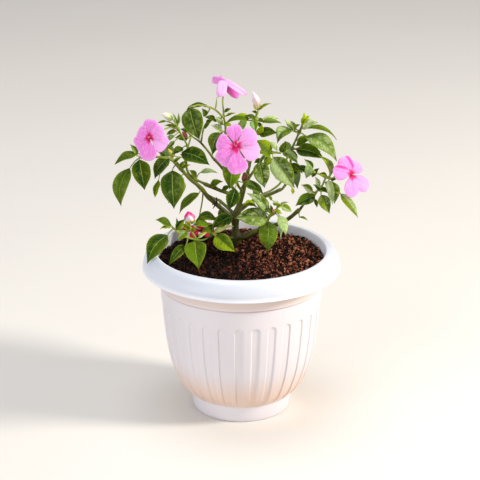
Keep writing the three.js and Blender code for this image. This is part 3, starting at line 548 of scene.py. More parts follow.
def scatter(count, levels, sizes, seed, sink):
    """Crumbs on the bed: balls of few faces, each with its own size, dents and turn."""
    skin = Skin()
    draw = np.random.default_rng(seed)
    ball = bmesh.new()
    bmesh.ops.create_icosphere(ball, subdivisions=levels, radius=1.0)
    points = np.array([v.co[:] for v in ball.verts])
    faces = [[v.index for v in f.verts] for f in ball.faces]
    ball.free()
    for _ in range(count):
        angle = draw.uniform(0, 2 * math.pi)
        radius = STREWN_RADIUS * math.sqrt(draw.uniform(0, 1))
        x, y = radius * math.cos(angle), radius * math.sin(angle)
        if math.hypot(x - TRUNK_FOOT[0], y - TRUNK_FOOT[1]) < CLEAR_OF_TRUNK:
            continue
        size = min(sizes[0] + (sizes[1] - sizes[0]) * draw.uniform(0, 1) ** 2.2, CRUMB_EDGE - radius)
        knocks = 1 + 0.5 * np.clip(draw.normal(0, 0.75, (len(points), 1)), -0.9, 0.9)
        shape = points * knocks * (size / 2) * draw.uniform(0.72, 1.2, 3)
        spin = np.array(Matrix.Rotation(draw.uniform(0, 6.28), 3, Vector(draw.normal(0, 1, 3))))
        middle = np.array([x, y, soil_height(x, y) + size * draw.uniform(*sink)])
        # crumbs towards the left, and a little towards the front, are darker: a painted shadow of the plant
        shade = draw.uniform(0, 1) * (0.76 + 0.24 * math.tanh((x + 0.4 * y) / 30))
        skin.add(shape @ spin.T + middle, faces, lay=(shade, size, 0))
    return skin


large_crumbs = scatter(1500, 2, (1.8, 4.2), 5, (-0.2, 0.5))
small_crumbs = scatter(7700, 1, (0.9, 2.2), 6, (0.0, 1.3))


# %% [markdown]
# ## The soil's finish
#
# Moist soil is dark red-brown, and each crumb has its own tone, which comes with the crumb as its
# lay, and a fine noise adds grain. Crumbs towards the left are darker, a painted shadow of the
# plant, and the darker crumbs and the bed under them turn near black, a painted shade for the gaps
# between the crumbs. Soil hardly shines, so the roughness is high.

# %% The soil's finish
earth = Finish("soil_crumbs", Roughness=0.95, Specular_IOR_Level=0.25)
grain = earth.noise(900.0, 4.0, 0.7)
blend = earth.parts(earth.laid("lay"))[0] * 0.62 + grain * 0.55
# the darker crumbs turn near black, a painted shade for the gaps between crumbs; the rest are red-brown
crumb_tones_and_gap_shade = {0.34: "080302", 0.52: "220e08", 0.66: "743a24", 0.88: "c9825e"}
earth.dress("Base Color", earth.ramp(blend, crumb_tones_and_gap_shade))
earth.bump(grain, 0.7, 0.0009)
bed_earth = Finish("soil_bed", Roughness=1.0, Specular_IOR_Level=0.2)
bed_grain = bed_earth.noise(420.0, 5.0, 0.7)
# the bed under the crumbs is near black, a painted shade for the deep gaps
bed_earth.dress("Base Color", bed_earth.ramp(bed_grain, {0.3: "050202", 0.7: "170a07"}))
bed_earth.bump(bed_grain, 0.9, 0.0015)
bed.piece("soil_bed", bed_earth, "soil", "soil")
large_crumbs.piece("soil_crumbs_large", earth, "soil", "soil", crease=40.0)
small_crumbs.piece("soil_crumbs_small", earth, "soil", "soil", crease=40.0)


# %% [markdown]
# ## Stems
#
# Balsam stems are juicy, smooth and round, thick at the base, with a swelling wherever a leaf
# stalk joins. A curve object with a bevel would give a round stem, but no swellings and no tone of
# its own at each end. So a stem is a tube of rings along a smooth curve, and each ring has its own
# radius. Each limb is a line of text: its name, its radius at the start and at the end, its tone at
# the start and at the end, and the spots that it passes through.

# %% Stems
# the leaf greens are partly the leaves' own colour and partly painted light and shade: the darker ones hold
# painted shade, and grey, pale and cream hold painted sheen
TONES = {name: rgb(code) for name, code in {
    "deep": "1c3c07", "dark": "384d07", "mid": "5e7e0c", "fresh": "8aa10e", "lime": "bbca0c",
    "olive": "4e660a", "moss": "738708", "grey": "95b171", "bluish": "768e3d", "pale": "b8cf87",
    "cream": "e7f4b7", "straw": "e6cf80", "rose": "e2607c", "bark": "45400f", "old": "626812",
    "young": "7d8f1c", "soft": "b5bd4c",
}.items()}
SHOOT_TONES = (TONES["young"], TONES["soft"])
SLIMMER = 0.88


def tube(skin, points, start_radius, end_radius, sides, tones, steps=6, swellings=()):
    """A round stem through the points. Swellings are spots where it is thicker. The radii are those
    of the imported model, and the stem between its joints is a little slimmer."""
    curve = smooth_through(points, steps) if len(points) > 2 else np.linspace(points[0], points[-1], steps)
    way = np.gradient(curve, axis=0)
    way /= np.linalg.norm(way, axis=1)[:, None]
    share = np.r_[0, np.cumsum(np.linalg.norm(np.diff(curve, axis=0), axis=1))]
    share = share / share[-1]
    side = unit(np.cross([0.31, 0.42, 0.85], way[0]))
    angles = 2 * math.pi * np.arange(sides) / sides
    rings, shades, lays = [], [], []
    for point, onward, s in zip(curve, way, share):
        side = unit(side - onward * np.dot(side, onward))
        radius = SLIMMER * (start_radius + (end_radius - start_radius) * s)
        for swelling in swellings:
            radius *= 1 + 0.2 * math.exp(-((np.linalg.norm(point - swelling) / (2.2 * radius + 0.4)) ** 2))
        rings.append(ring(point, side, np.cross(onward, side), radius, sides))
        shades.append(np.tile(np.array(tones[0]) * (1 - s) + np.array(tones[1]) * s, (sides, 1)))
        lays.append(np.c_[np.full(sides, s), np.sin(angles), np.cos(angles)])
    grid = numbers(len(curve), sides)
    faces = ring_faces(*grid.shape) + fan(grid.size, grid[0, ::-1]) + fan(grid.size + 1, grid[-1])
    ends = [curve[:1] - way[0] * 0.2 * start_radius, curve[-1:] + way[-1] * 0.6 * end_radius]
    both_ends = lambda rows: np.concatenate([*rows, rows[0][:1], rows[-1][:1]])
    skin.add(np.concatenate([*rings, *ends]), faces, both_ends(shades), both_ends(lays))


LIMBS = """
trunk 4.2 1.9 bark old: 235.2 219 36, 238.5 208 35, 243 190 32, 248 175 28
left 2.9 2.5 bark old: 235.2 220.5 35, 225 211.5 34, 215 203 31, 208 196.7 28
leftBack 2.2 2 old old: 241.2 197 33, 229 193.5 35, 219 190 36, 208 185.3 36
upper 1.9 1.5 old old: 240.6 198 34, 229 182 40, 224 167 40, 224.5 152 36
upperRight 1.7 1.4 old young: 247 177 28, 250 163 32, 253.5 146 36, 254.5 136 36
innerLeft 1.6 1.5 old old: 225 172 40, 220 165.5 38, 214 159 36
centre 1.6 1.4 old young: 242.6 191 32, 239 187 24, 237 183 18
rightUp 1.8 1.5 old young: 243.4 188 32, 249 178 34, 256 168 36, 262 159 36
rightCentre 2.4 1.9 old old: 238.3 208 35, 252 201.5 40, 268 195.2 44, 281 189.3 46
rightLow 2.8 2.2 bark old: 235 238 36, 256 231 42, 275 225 44, 288 219 42, 299 210 38
lowRight 2.3 1.8 bark old: 235 239 35, 246 237 24, 256 231 14
lowLeft 2.2 1.7 bark old: 234 238 35, 224 237.5 24, 216 236 16
backLeft 2.3 1.8 bark old: 236 216 36, 228 208 56, 220 201 72
backRight 2.2 1.7 bark old: 236 214 36, 246 206 54, 256 199 70
backTop 1.7 1.5 old old: 247.2 177 28, 247.5 169 44, 247.5 161 58
seedStalk 0.9 0.7 old young: 247.4 176 28, 248 170 25, 246.6 171.4 22.2
"""
limbs = {}
for line in LIMBS.strip().splitlines():
    head, way = line.split(":")
    name, *radii, start_tone, end_tone = head.split()
    limbs[name] = (seen_way(way), *map(float, radii), TONES[start_tone], TONES[end_tone])
foot = [np.array([*TRUNK_FOOT, 150.0]), np.array([*TRUNK_FOOT, SOIL_LEVEL + 7])]
limbs["trunk"] = (foot + limbs["trunk"][0], *limbs["trunk"][1:])

stems = Skin()
for stub in (
    "216 203.5 30, 214.5 206 27, 213 208.5 26",
    "216.5 203 30, 216.8 199.5 28, 216.4 197.3 27",
    "215 203 30, 213.4 203.6 27, 212.4 205 26",
):
    tube(stems, seen_way(stub), 1.3, 0.5, 8, (rgb("3a1c10"), rgb("4a2614")), steps=4)
for name, (way, start_radius, end_radius, *tones) in limbs.items():
    starts = [limb[0][0] for other, limb in limbs.items() if other != name]
    swellings = [spot for spot in starts if min(np.linalg.norm(spot - p) for p in way) < 9] + [way[-1]]
    tube(stems, way, start_radius, end_radius, 14, tones, swellings=swellings)


# %% [markdown]
# ## The stems' finish
#
# Young balsam stems look almost glassy: green with a moist gloss. The oldest are olive-brown and
# dull near the soil. The tone of each tube gives the colour, long streaks along it give the grain,
# and small pale dots give the pores.

# %% The stems' finish
stem_skin = Finish("stem_skin", Specular_IOR_Level=0.45)
streak = stem_skin.noise(150.0, 3.0, 0.6)
fleck = stem_skin.noise(700.0, 2.0)
stem_skin.dress("Base Color", stem_skin.layered(
    stem_skin.laid("tone", output="Color"),
    ("2e220c", streak.between(0.48, 0.72, 0.0, 0.75)),
    ("c2c88a", fleck.between(0.62, 0.8, 0.0, 0.35)),
))
stem_skin.dress("Roughness", 0.38 + streak * 0.25)
stem_skin.bump(streak + fleck * 0.4, 0.35, 0.0008)
stems.piece("stems_main", stem_skin, "stem", "stems")


# %% [markdown]
# ## A leaf
#
# A balsam leaf is a pointed oval, broadest before its middle, with fine forward-pointing teeth, a
# groove along the midrib and side veins that curve towards the tip. The blade bulges between the
# veins. A flat card with a picture of all this would look flat from the side, so each leaf is a
# closed thin body: a grid of points that is lifted by the fold, the arch, the waves of the edge and
# the bulges, with an underside of its own.

# %% A leaf
ACROSS = np.array([0, 0.05, 0.14, 0.28, 0.44, 0.6, 0.75, 0.88, 0.96, 1.0])
LEAF_COLUMNS = np.r_[-ACROSS[:0:-1], ACROSS]
BLADE_HALF = 0.28
TOOTH_PITCH = 2.5
VEIN_GAP = 4.2
STALK_RADII = (0.85, 0.5)
FOLD = math.radians(16)
LEAF_OUTLINE = [(0, 0.02), (0.03, 0.2), (0.08, 0.46), (0.15, 0.74), (0.24, 0.93), (0.35, 1.0), (0.47, 0.98),
                (0.59, 0.88), (0.7, 0.7), (0.8, 0.46), (0.88, 0.25), (0.95, 0.09), (1, 0.01)]
leaf_curve = smooth_through(LEAF_OUTLINE, 8)


def leaf_width(t):
    """Broad and round from the stalk to past the middle, then drawn out to a point."""
    return np.interp(t, *leaf_curve.T)


def rolled_face(root, tip, turn):
    """The face towards the viewer, rolled up to the sky, or to the right where the leaf hangs, and
    the direction square to the leaf as the viewer sees it."""
    along = unit(tip - root)
    face = EYE - root
    face = unit(face - along * np.dot(face, along))
    aside = np.cross(along, face)
    upright = 1 if aside[0] * 0.6 + aside[2] >= 0 else -1
    roll = Matrix.Rotation(upright * math.radians(turn), 3, Vector(along))
    return np.array(roll @ Vector(face)), aside


def closed_blade(skin, top, under, ends, tone, lay):
    """A closed body from a grid of top points, the matching underside, and its two end points.
    The two outermost columns are shared by both faces."""
    rows, columns = top.shape[:2]
    upper = numbers(rows, columns)
    lower = np.c_[upper[:, 0], numbers(rows, columns - 2, upper.size), upper[:, -1]]
    root = upper.size + rows * (columns - 2)
    faces = quads(upper) + turned_over(quads(lower))
    faces += fan(root, np.r_[upper[0, ::-1], lower[0, 1:-1]])
    faces += fan(root + 1, np.r_[upper[-1], lower[-1, -2:0:-1]])
    spread = lambda over, beneath, last_two: np.concatenate([
        over.reshape(-1, 3), beneath[:, 1:-1].reshape(-1, 3), last_two])
    at_ends = lambda grid: grid[[0, -1], columns // 2]
    tones = spread(tone, tone * 0.55 + TONES["grey"] * 0.45, at_ends(tone))
    skin.add(spread(top, under, ends), faces, tones, spread(lay, lay, at_ends(lay)))


def nearest_point(shoots, point):
    """The nearest point of the shoots. The first stretch lies in the limb and doesn't count."""
    best = None
    for order, shoot in enumerate(shoots):
        for a, b in list(zip(shoot, shoot[1:]))[1 if order == 0 else 0 :]:
            share = np.clip(np.dot(point - a, b - a) / np.dot(b - a, b - a), 0, 1)
            near = a + share * (b - a)
            if best is None or np.linalg.norm(near - point) < np.linalg.norm(best - point):
                best = near
    return best


def leaf(blades, stalks, shoots, row, seed):
    words = row.split()
    root, tip = seen(map(float, words[:3])), seen(map(float, words[3:6]))
    left, right = TONES[words[9]], TONES[words[10]]
    width, turn, arch, silver_and_sheen, bow = map(float, [*words[6:9], *words[11:], 0.0][:5])
    draw = np.random.default_rng(seed)
    axis = tip - root
    length = np.linalg.norm(axis)
    slant = max(0.34, abs(math.cos(math.radians(turn))))
    half_width = min(width / slant, 0.62 * length) / 2
    face, aside = rolled_face(root, tip, turn)
    across = np.cross(unit(axis), face)
    rows = int(max(14, min(84, length * 2.1)))
    t = np.linspace(0.012, 0.985, rows)[:, None]
    v = LEAF_COLUMNS[None, :]
    veins = max(4, round(length / VEIN_GAP))
    phase = veins * (t**0.92 - 0.2 * np.abs(v) ** 1.25) + 0.15 * np.sign(v)
    tooth = (length * t / TOOTH_PITCH + 0.5 * (v > 0)) % 1.0
    teeth = 0.55 / max(half_width, 2.0) * (tooth**1.4 - 0.3) * np.clip((np.abs(v) - 0.86) * 7.2, 0, 1)
    reach = leaf_width(t) * (1 + teeth * np.clip(half_width / 4, 0.3, 1))
    fold_height = (np.sqrt(v**2 + 0.012) - 0.11) * math.sin(FOLD) * leaf_width(t) * half_width
    curl = -0.13 * half_width * leaf_width(t) * np.abs(v) ** 3.5
    wave = 0.07 * half_width * v**2 * np.sin(2 * np.pi * (t * draw.uniform(1.3, 2.2) + draw.uniform()) + v)
    quilt = 0.045 * half_width * (np.abs(np.sin(np.pi * phase)) ** 0.8 - 0.6) * np.clip(np.abs(v) * 6, 0, 1)
    quilt = quilt * np.clip(1.25 - np.abs(v), 0, 1) * np.clip(6 * t * (1 - t), 0, 1)
    tip_curl = -draw.uniform(0.02, 0.09) * length * np.clip((t - 0.6) / 0.4, 0, 1) ** 2
    height = arch * length * 4 * t * (1 - t) + fold_height + curl + wave + quilt + tip_curl * np.sign(arch)
    side = v * reach * half_width
    middle = root + t[..., None] * axis + side[..., None] * across + height[..., None] * face
    middle = middle + (bow * np.sin(np.pi * t))[..., None] * aside
    rim = np.clip(1 - np.abs(v) ** 8, 0, 1)
    rib = 0.55 * np.exp(-((v / 0.06) ** 2)) * (1 - t) * min(1.0, length / 20)
    top = middle + (BLADE_HALF * rim)[..., None] * face
    under = middle - (BLADE_HALF * rim + rib)[..., None] * face
    share = np.clip(v * 3 + 0.5, 0, 1) * np.ones_like(t)
    # the first tone is for the half that is on the viewer's left, or upper for a level leaf
    if aside[2] > 0.6 * aside[0]:
        share = 1 - share
    # each half's tone is partly the leaf's own green and partly how lit or shaded that half is: painted
    # light and shade
    tone = (1 - share[..., None]) * left + share[..., None] * right
    tone = tone * draw.uniform(0.9, 1.1)
    lay = np.stack([phase * np.ones_like(t), v * np.ones_like(t), np.full(share.shape, silver_and_sheen)], axis=-1)
    ends = [root, tip + (tip_curl[-1, 0] * np.sign(arch)) * face]
    closed_blade(blades, top, under, ends, tone, lay)
    # its stalk comes from the nearest shoot, leans the way the leaf does and ends inside the blade
    start = nearest_point(shoots, root)
    lean = unit(axis + face * arch * length * 3)
    mid = start * 0.45 + root * 0.55 - lean * 0.12 * np.linalg.norm(root - start) + np.array([0, 0, 0.4])
    inside = root + axis * 0.1 + face * (arch * length * 0.36 - 0.35)
    stalk_tone = right * 0.4 + TONES["soft"] * 0.6
    tube(stalks, [start, mid, root - face * 0.3, inside], *STALK_RADII, 8, (stalk_tone, stalk_tone), steps=4)


# %% [markdown]
# ## The leafy stems
#
# Each leafy stem has its limb, the radii of its first shoot, the ways of its shoots, its leaves and
# the stalks that hold its buds or blooms. A leaf is a line of text: the spot of its root, the spot
# of its tip, how wide it shows, how far it rolls to the sky, how much it arches, its tones for the
# left half and the right half, which hold painted light and shade as well as the leaf's own green,
# and the share of silvery patches, which are partly painted sheen. A last number is how far it bows
# to one side. The last lines of most stems are small young leaves close to the shoots. They are too
# small to matter in the imported model, but without them the shoots look bare.

# %% The leafy stems
SPRAYS = {
    "far_left": ("left", (2.5, 1.2), [
        "203 190.5 25, 197 184.5 22, 190 179 18, 181 169 12, 172 160 6, 158 157 -1, 141 157 -6",
    ], """
138 153.5 -8 114.5 164.3 -14 8 45 0.09 olive olive 0 1
137 155.5 -8 130 144 -2 5 50 0.09 bluish dark 0
139.3 159.7 -8 145 189.8 -22 21 10 0.09 deep dark 0 0.8
129.8 168 -9 120.5 206.8 -20 15.2 -15 0.09 olive olive 0.1 4.2
169 157.5 3 154.3 179 -6 12.5 15 0.09 dark deep 0.1 2
158.6 180 2 155.6 198 2 6 40 0.09 moss fresh 0 2.6
172.3 170.5 5 174 208.7 -16 26.5 5 0.09 deep dark 0.1 0.8
199 193 20 178.5 213 8 8.5 40 0.09 olive olive 0 0.6
180 167 12 186 160.5 9 4 20 0.1 mid fresh 0
181.5 168.5 12 190.5 164.5 14 3.5 40 0.1 moss moss 0
174 162 8 181 157.5 4 3.5 30 0.1 fresh olive 0
165 158 2 159 152 6 4 30 0.1 deep deep 0
""", {
        "bud_yellow": "172 160 6, 173 158.5 9",
        "bloom_crimson": "203 190.5 25, 202.5 199 38, 200 213 50, 197.5 224 54, 196.5 230 51",
    }),
    "left": ("leftBack", (1.5, 0.9), [
        ("200 181.5 34, 193 178.3 30, 187 170 24, 186.5 160 20, "
         "187.5 147.5 16, 185 141 12, 181 134 10, 177.5 128 8"),
    ], """
174.5 135.5 7 165 142 2 5 40 0.09 grey grey 0
176.5 131 8 166 134.5 12 4.5 40 0.09 moss moss 0
182.8 147.5 14 172.8 154 6 8.5 30 0.09 olive deep 0
181.8 152.6 15 209.6 164.4 4 18.5 30 0.09 deep deep 0 -1
176.5 127 8 164.5 125.2 6 3.2 30 0.09 olive olive 0
196 177 31 189.5 170 27 6.5 30 0.09 dark olive 0
166 121 7 157.5 123 5 2.5 30 0.09 fresh olive 0
177 126.5 9 173 113 8 3 20 0.1 grey olive 0
178.5 124 9 178.5 112.5 10 3 20 0.1 mid grey 0
200 172.5 34 217.5 172.3 30 5 35 0.1 pale grey 0 -0.6
210 186 36 222.5 181 33 7 35 0.12 mid olive 0
212 187.5 36 219.5 190 33 4 35 0.1 olive dark 0
222 190.5 36 231 186 32 5 30 0.1 dark dark 0
174.5 141 8 168.5 149 4 4.5 30 0.1 grey moss 0
187 158 20 180 154 22 4.5 30 0.1 dark olive 0
""", {
        "bud_white": "178 129 8, 174.5 122 7",
        "bloom_left": "178 129 8, 170 127.5 4, 160 131 -3",
    }),
    "upper_left": ("upper", (1.5, 0.9), [
        "225.5 140 34, 225.5 127 34, 224 118 33, 223.5 111 33",
        "224 118 33, 215 109.5 30, 207 106.5 29, 199 105 28, 193 106.5 27",
    ], """
189.8 107.5 26 199.5 139.8 10 27 0 0.09 dark dark 0.15 1.2
206 104.8 30 184 115.5 38 4.4 55 0.16 olive dark 0 0.8
206 116 31 202.5 108.5 26 6 20 0.09 olive dark 0
217 121 33 205 117 29 6 50 0.09 dark dark 0
223 124.5 34 214 117.5 30 6 40 0.09 cream grey 0
222.5 132 34 212 125 28 7 40 0.09 cream pale 0
222 132.5 30 213 154.8 16 15 10 0.09 dark deep 0 4
224.5 112 34 231 108.5 35 4 40 0.09 dark olive 0
226 116 34 235.5 112.8 30 2.6 40 0.09 lime olive 0
215.5 109 31 216.8 97.5 30 1.6 30 0.03 fresh pale 0
225 124 34 232 126 31 5 30 0.1 lime lime 0
""", {
        "bloom_top": "223.6 112 33, 222.7 101 34, 223.6 93 35",
    }),
    "inner_left": ("innerLeft", (1.5, 0.9), [
        "208 151 33, 200 142 30, 193 137 28, 187 131.5 26",
        "201 143 30, 203 131 30, 205.5 124 31",
    ], """
187.5 138.5 26 175 137.5 20 7 30 0.09 dark deep 0
187 132 26 180.5 128.8 22 4 30 0.09 dark deep 0
206 124 31 212.5 120 28 5.5 30 0.1 mid fresh 0
204 128 30 209 124.5 27 4 30 0.1 mid mid 0
""", {
        "bud_red": "192 136.5 28, 190 138.5 20",
    }),
    "upper_right": ("upperRight", (1.5, 0.9), [
        "255 125 36, 256 117 36, 257.6 112 36",
    ], """
249.5 120.3 32 225.5 121.8 24 6 50 0.12 olive olive 0 0.6
255.5 119.5 34 246 115 30 5 40 0.09 dark dark 0
258 118.5 36 264 123 34 5 40 0.09 olive dark 0
262 121.5 36 281.5 122.8 32 5.2 40 0.09 bluish olive 0
263 118.8 37 279 118.5 42 4.2 30 0.09 pale pale 0
258.5 110.3 36 270.8 103 36 3 45 0.12 moss moss 0
257 135 34 262.5 124.5 30 7 30 0.09 moss fresh 0
258.5 133.5 34 277 132.3 30 11.5 30 0.09 dark dark 0
257.2 112.8 36 251.8 111.4 35 3 30 0.09 dark dark 0
257.5 109 36 253.2 104 35 3.4 20 0.1 moss mid 0
252.5 119.5 32 255.5 131.8 27 8 10 0.1 grey mid 0
248.5 118.3 33 235 115.8 28 6.5 30 0.12 fresh olive 0
257 123 36 262 127.5 38 5 30 0.1 olive fresh 0
""", {
        "bud_pink": "257.4 112.5 36, 257.9 111 36",
    }),
    "centre": ("centre", (1.5, 0.9), [
        "235 177 14, 235 168 10, 235.5 161 7",
    ], """
232.7 160 8 229.8 189.5 -4 20.5 5 0.09 dark mid 0
235.4 188.5 10 229 209.8 4 17 10 0.09 deep deep 0 0.4
243 182.5 13 264.5 193.3 24 9 35 0.09 dark deep 0
235.5 165 8 243 171 2 6 20 0.1 dark mid 0
235 171 12 226 176 12 6 30 0.1 dark deep 0
""", {
        "bloom_centre": "235.4 162 7, 236.5 150 -4, 237 145 -16",
    }),
    "right_centre": ("rightUp", (1.5, 0.9), [
        "267 153 34, 273 152.5 33, 281 153 33",
    ], """
271 153 33 256 140 28 12 20 0.09 fresh olive 0 1
270 155 32 258 152 22 8 40 0.09 bluish mid 0
273 157 30 294.5 188.3 16 20.5 -8 0.09 olive pale 0.5 -0.8
259.8 161.5 26 264.8 188 16 18 8 0.09 olive dark 0.5 0.8
277 150 33 268.5 141.5 34 5 40 0.09 pale grey 0
280.5 152.5 34 286 141 36 12 20 0.09 dark dark 0
262 160 35 254 163 30 6 30 0.1 mid deep 0
270 156 31 264 167 26 8 10 0.1 olive fresh 0
""", {}),
    "right_shoot": ("rightCentre", (1.5, 0.9), [
        "288 180 50, 290.5 166 52, 291 152 52, 296 139.5 52, 302 126 52, 302.6 120 52",
    ], """
291.5 128.8 50 277.3 142.6 38 13.5 20 0.09 pale olive 0.3 4
303 124 52 304.5 113 50 7 30 0.09 fresh lime 0
304 128 51 317.8 122.3 44 8.5 30 0.09 cream pale 0 -1.8
304 128.8 52 337.3 138.8 44 4.8 55 0.16 moss olive 0 -1.1
306 136 49 337.2 160.3 32 16 25 0.1 bluish bluish 0.6 -3.6
296 149.5 49 324 158 38 14 25 0.09 olive deep 0 -1.4
282.5 151 48 298.3 162.8 40 8.5 40 0.09 pale olive 0.2
293 130.5 52 285 119.5 50 7 40 0.09 cream pale 0
291.5 129.8 53 300 124.2 54 4.2 40 0.09 dark moss 0
295 131 50 292 121 46 3.5 50 0.09 olive olive 0
297 140.5 50 311 136.8 46 3.6 40 0.16 fresh dark 0
303 122.5 52 309.5 115.5 50 5.5 30 0.1 fresh lime 0
291.5 150.5 51 298 158.5 47 3.5 20 0.1 dark pale 0
292.5 188 46 292.8 194.5 43 3.5 20 0.1 lime lime 0
290 170 51 298 174 47 7 30 0.1 dark deep 0
289.5 176 50 283 172 52 6 30 0.1 grey cream 0
296 145.5 52 310.7 138.6 50 6 30 0.1 mid olive 0
291 163.5 49 303 173.5 45 7.5 20 0.1 dark dark 0
286.5 177 49 276 172.5 46 6.5 20 0.1 dark deep 0
""", {}),
    "right_cluster": ("rightLow", (1.5, 0.9), [
        "305 203 34, 314 194.5 30, 318 190 30, 322 186 30, 326 178 30, 331 178.5 29",
        "326 178 30, 320 174.5 32, 313.5 172 34",
        "318 190 30, 329 191 26, 338.5 193 20",
    ], """
315 196 28 295.3 205.5 18 12 25 0.09 mid deep 0.2
313 193 28 301 184.5 26 7 40 0.09 moss cream 0
314.5 199 29 317 207.5 26 4 40 0.09 dark moss 0
321 195 26 329.5 213.5 14 12 5 0.09 fresh dark 0.3
328.5 179.8 28 331.8 204.8 16 7.5 -30 0.09 cream pale 0.3 -2.2
332 181.5 30 334.5 203.8 22 11 20 0.09 grey mid 0.3 -0.6
340.5 193.5 20 358.5 217.5 8 8.5 25 0.09 pale moss 0
329.3 177.5 31 318.2 154.8 20 7 30 0.12 fresh olive 0.3 4.2
309.8 164.5 34 306 178.8 28 8.5 20 0.09 grey grey 0.2
312 177 33 319 168 36 7 40 0.09 deep dark 0
313 169 34 304.5 159 36 6 30 0.09 dark grey 0
309 172 36 296 166.5 42 11 40 0.09 dark deep 0
327.5 177 30 318.5 174 28 4.5 50 0.16 olive lime 0
331.5 180.5 29 338 177.5 26 4.5 40 0.1 dark dark 0
319 186.5 30 315 176.5 27 5 20 0.1 cream grey 0
321 189.5 29 313.5 184.5 26 6 30 0.1 grey deep 0
320.5 187.5 30 327.5 193 25 6 30 0.1 dark dark 0
316 193 30 309 197 34 5 40 0.1 dark fresh 0
325 182 31 331.5 189 34 6 30 0.1 bluish bluish 0
299.5 217 38 308 220.5 34 2.4 30 0.2 fresh moss 0
""", {
        "bloom_right": "330.5 178.5 29, 337 177 27, 344 175.5 23",
    }),
    "low_right": ("lowRight", (1.5, 0.9), [
        "265 222.5 8, 270 216 6, 276 210 6, 279 204 7",
    ], """
268 218.5 6 234.8 217.2 -2 18.5 20 0.09 dark bluish 0.6
268.8 221.5 5 268.2 251.6 -8 19.5 -5 0.09 olive mid 0.1
279.6 215.5 6 286.4 234.9 -4 10 30 0.09 grey pale 0.2 0.6
279 217.5 6 281.3 239 -3 3 60 0.02 cream pale 0
268.8 212 8 247.2 193 2 10.5 20 0.09 olive grey 0.7 2
256.5 206.5 9 242 206 4 6.5 50 0.16 lime dark 0 1.2
273 203 8 281 204.5 4 6 20 0.09 cream moss 0.2
281.5 205.8 7 292 211.8 4 7 20 0.09 fresh pale 0.2
272 200 8 268 195.8 8 4 30 0.09 moss olive 0
280 204.5 7 288.5 202 7 2.5 30 0.09 fresh grey 0
272 212 6 270.5 204.5 4 3.5 10 0.1 dark deep 0
273 212.5 6 266 208 3 4.5 20 0.1 dark dark 0
275.5 210 6 282 214 2 4 20 0.1 lime fresh 0
277.5 206 6 284 206.5 2 3.5 20 0.1 fresh lime 0
266 220 7 259 226 4 6 20 0.1 dark olive 0
274 213 6 272.2 209 4 3 20 0.1 rose rose 0
""", {}),
    "low_left": ("lowLeft", (1.5, 0.9), [
        "211 236.5 10, 203 240 2, 197 240 -3",
        "197 240 -3, 192 232 -4, 190 226 -4",
        "197 240 -3, 186 237 -7, 177 231 -11, 171 226 -14",
        "211 236.5 10, 213 227 13, 216 217.5 15",
    ], """
216 218.5 14 194.8 222 5 9.5 20 0.09 dark dark 0 3.6
232 216.3 18 212.8 227.8 8 13.5 15 0.09 deep deep 0 0.6
208.5 224 8 192.5 224.8 0 7.5 35 0.09 mid mid 0
212 230 8 202 231 2 8 20 0.09 olive moss 0
214 233 10 234 226 4 6 55 0.09 straw pale 0
215.3 235.5 4 235.6 251.8 -14 16 10 0.09 olive fresh 0 1.2
195 240.5 -5 198.6 268.7 -38 21.5 0 0.09 mid olive 0 0.6
186 245.3 -10 169 264 -34 10 20 0.09 deep dark 0
167.6 235 -15 147.2 264 -34 17.5 -10 0.09 deep dark 0 4.8
171 225 -14 155.5 219.6 -20 8 40 0.09 olive olive 0
176.5 230 -12 184.8 219 -16 7.5 20 0.09 deep moss 0
187 231 -6 177.5 240 -14 10 15 0.09 grey moss 0
189 230 -4 182.5 223.5 0 5 20 0.09 fresh fresh 0
169 227.7 -14 160 228.4 -16 3 60 0.09 moss lime 0
212.5 232.5 8 221.5 240.5 0 2.4 20 0.06 straw straw 0
177.5 229 -11 176.5 217.5 -8 3 20 0.1 deep deep 0
213 233.5 11 225.5 229.5 4 5 50 0.16 straw straw 0
198 238 -3 207 232 -4 3.5 20 0.1 lime cream 0
186 233 -6 180 229 -3 4.5 20 0.1 deep dark 0
191 231 -5 197 228 -8 4 20 0.1 fresh moss 0
216 222 14 224 219.5 10 6 30 0.1 deep deep 0
213 228 12 206 224 14 6 30 0.1 dark moss 0
""", {
        "bud_opening": "190.3 227 -4, 190 225 -4",
    }),
    "back_left": ("backLeft", (1.5, 0.9), [
        "208 195 86, 197 183 96, 190 176 100, 185 160 104, 188 147 106, 192 134 108",
    ], """
188 153 106 206 162 122 14 160 0.09 mid dark 0
192 133 109 192 112 120 18 165 0.09 mid fresh 0
175 156 101 148 146 96 16 130 0.09 dark mid 0
181 176 99 169 203 106 15 150 0.09 dark mid 0.2
221 209 74 221 223 66 10 30 0.09 deep dark 0
""", {}),
    "back_right": ("backRight", (1.5, 0.9), [
        "262 194.5 78, 271 190.5 84, 281 182 90, 284 168 94, 290 152 96, 300 147.5 94",
    ], """
281 180 91 275 163 106 11 160 0.09 mid fresh 0
288 165 95 298 188 104 13 150 0.09 dark deep 0
290 150 97 284.5 141 104 9 150 0.09 mid mid 0
301 148 94 321 151 86 13 120 0.09 dark dark 0
257 198 74 253 187 88 8 150 0.09 fresh mid 0
259 199 74 262 212 88 10 165 0.09 mid dark 0
""", {}),
    "back_top": ("backTop", (1.5, 0.9), [
        "246 152 68, 243 140 76, 238 130 80",
    ], """
238 132 81 228 147 96 14 165 0.09 dark mid 0
244 142 77 254 158 92 14 160 0.09 mid fresh 0.1
246 150 71 232 162 88 14 160 0.09 dark dark 0
238 130 80 245 115 86 9 140 0.09 fresh mid 0
241 138 79 255 132 92 10 150 0.09 mid mid 0
""", {}),
}
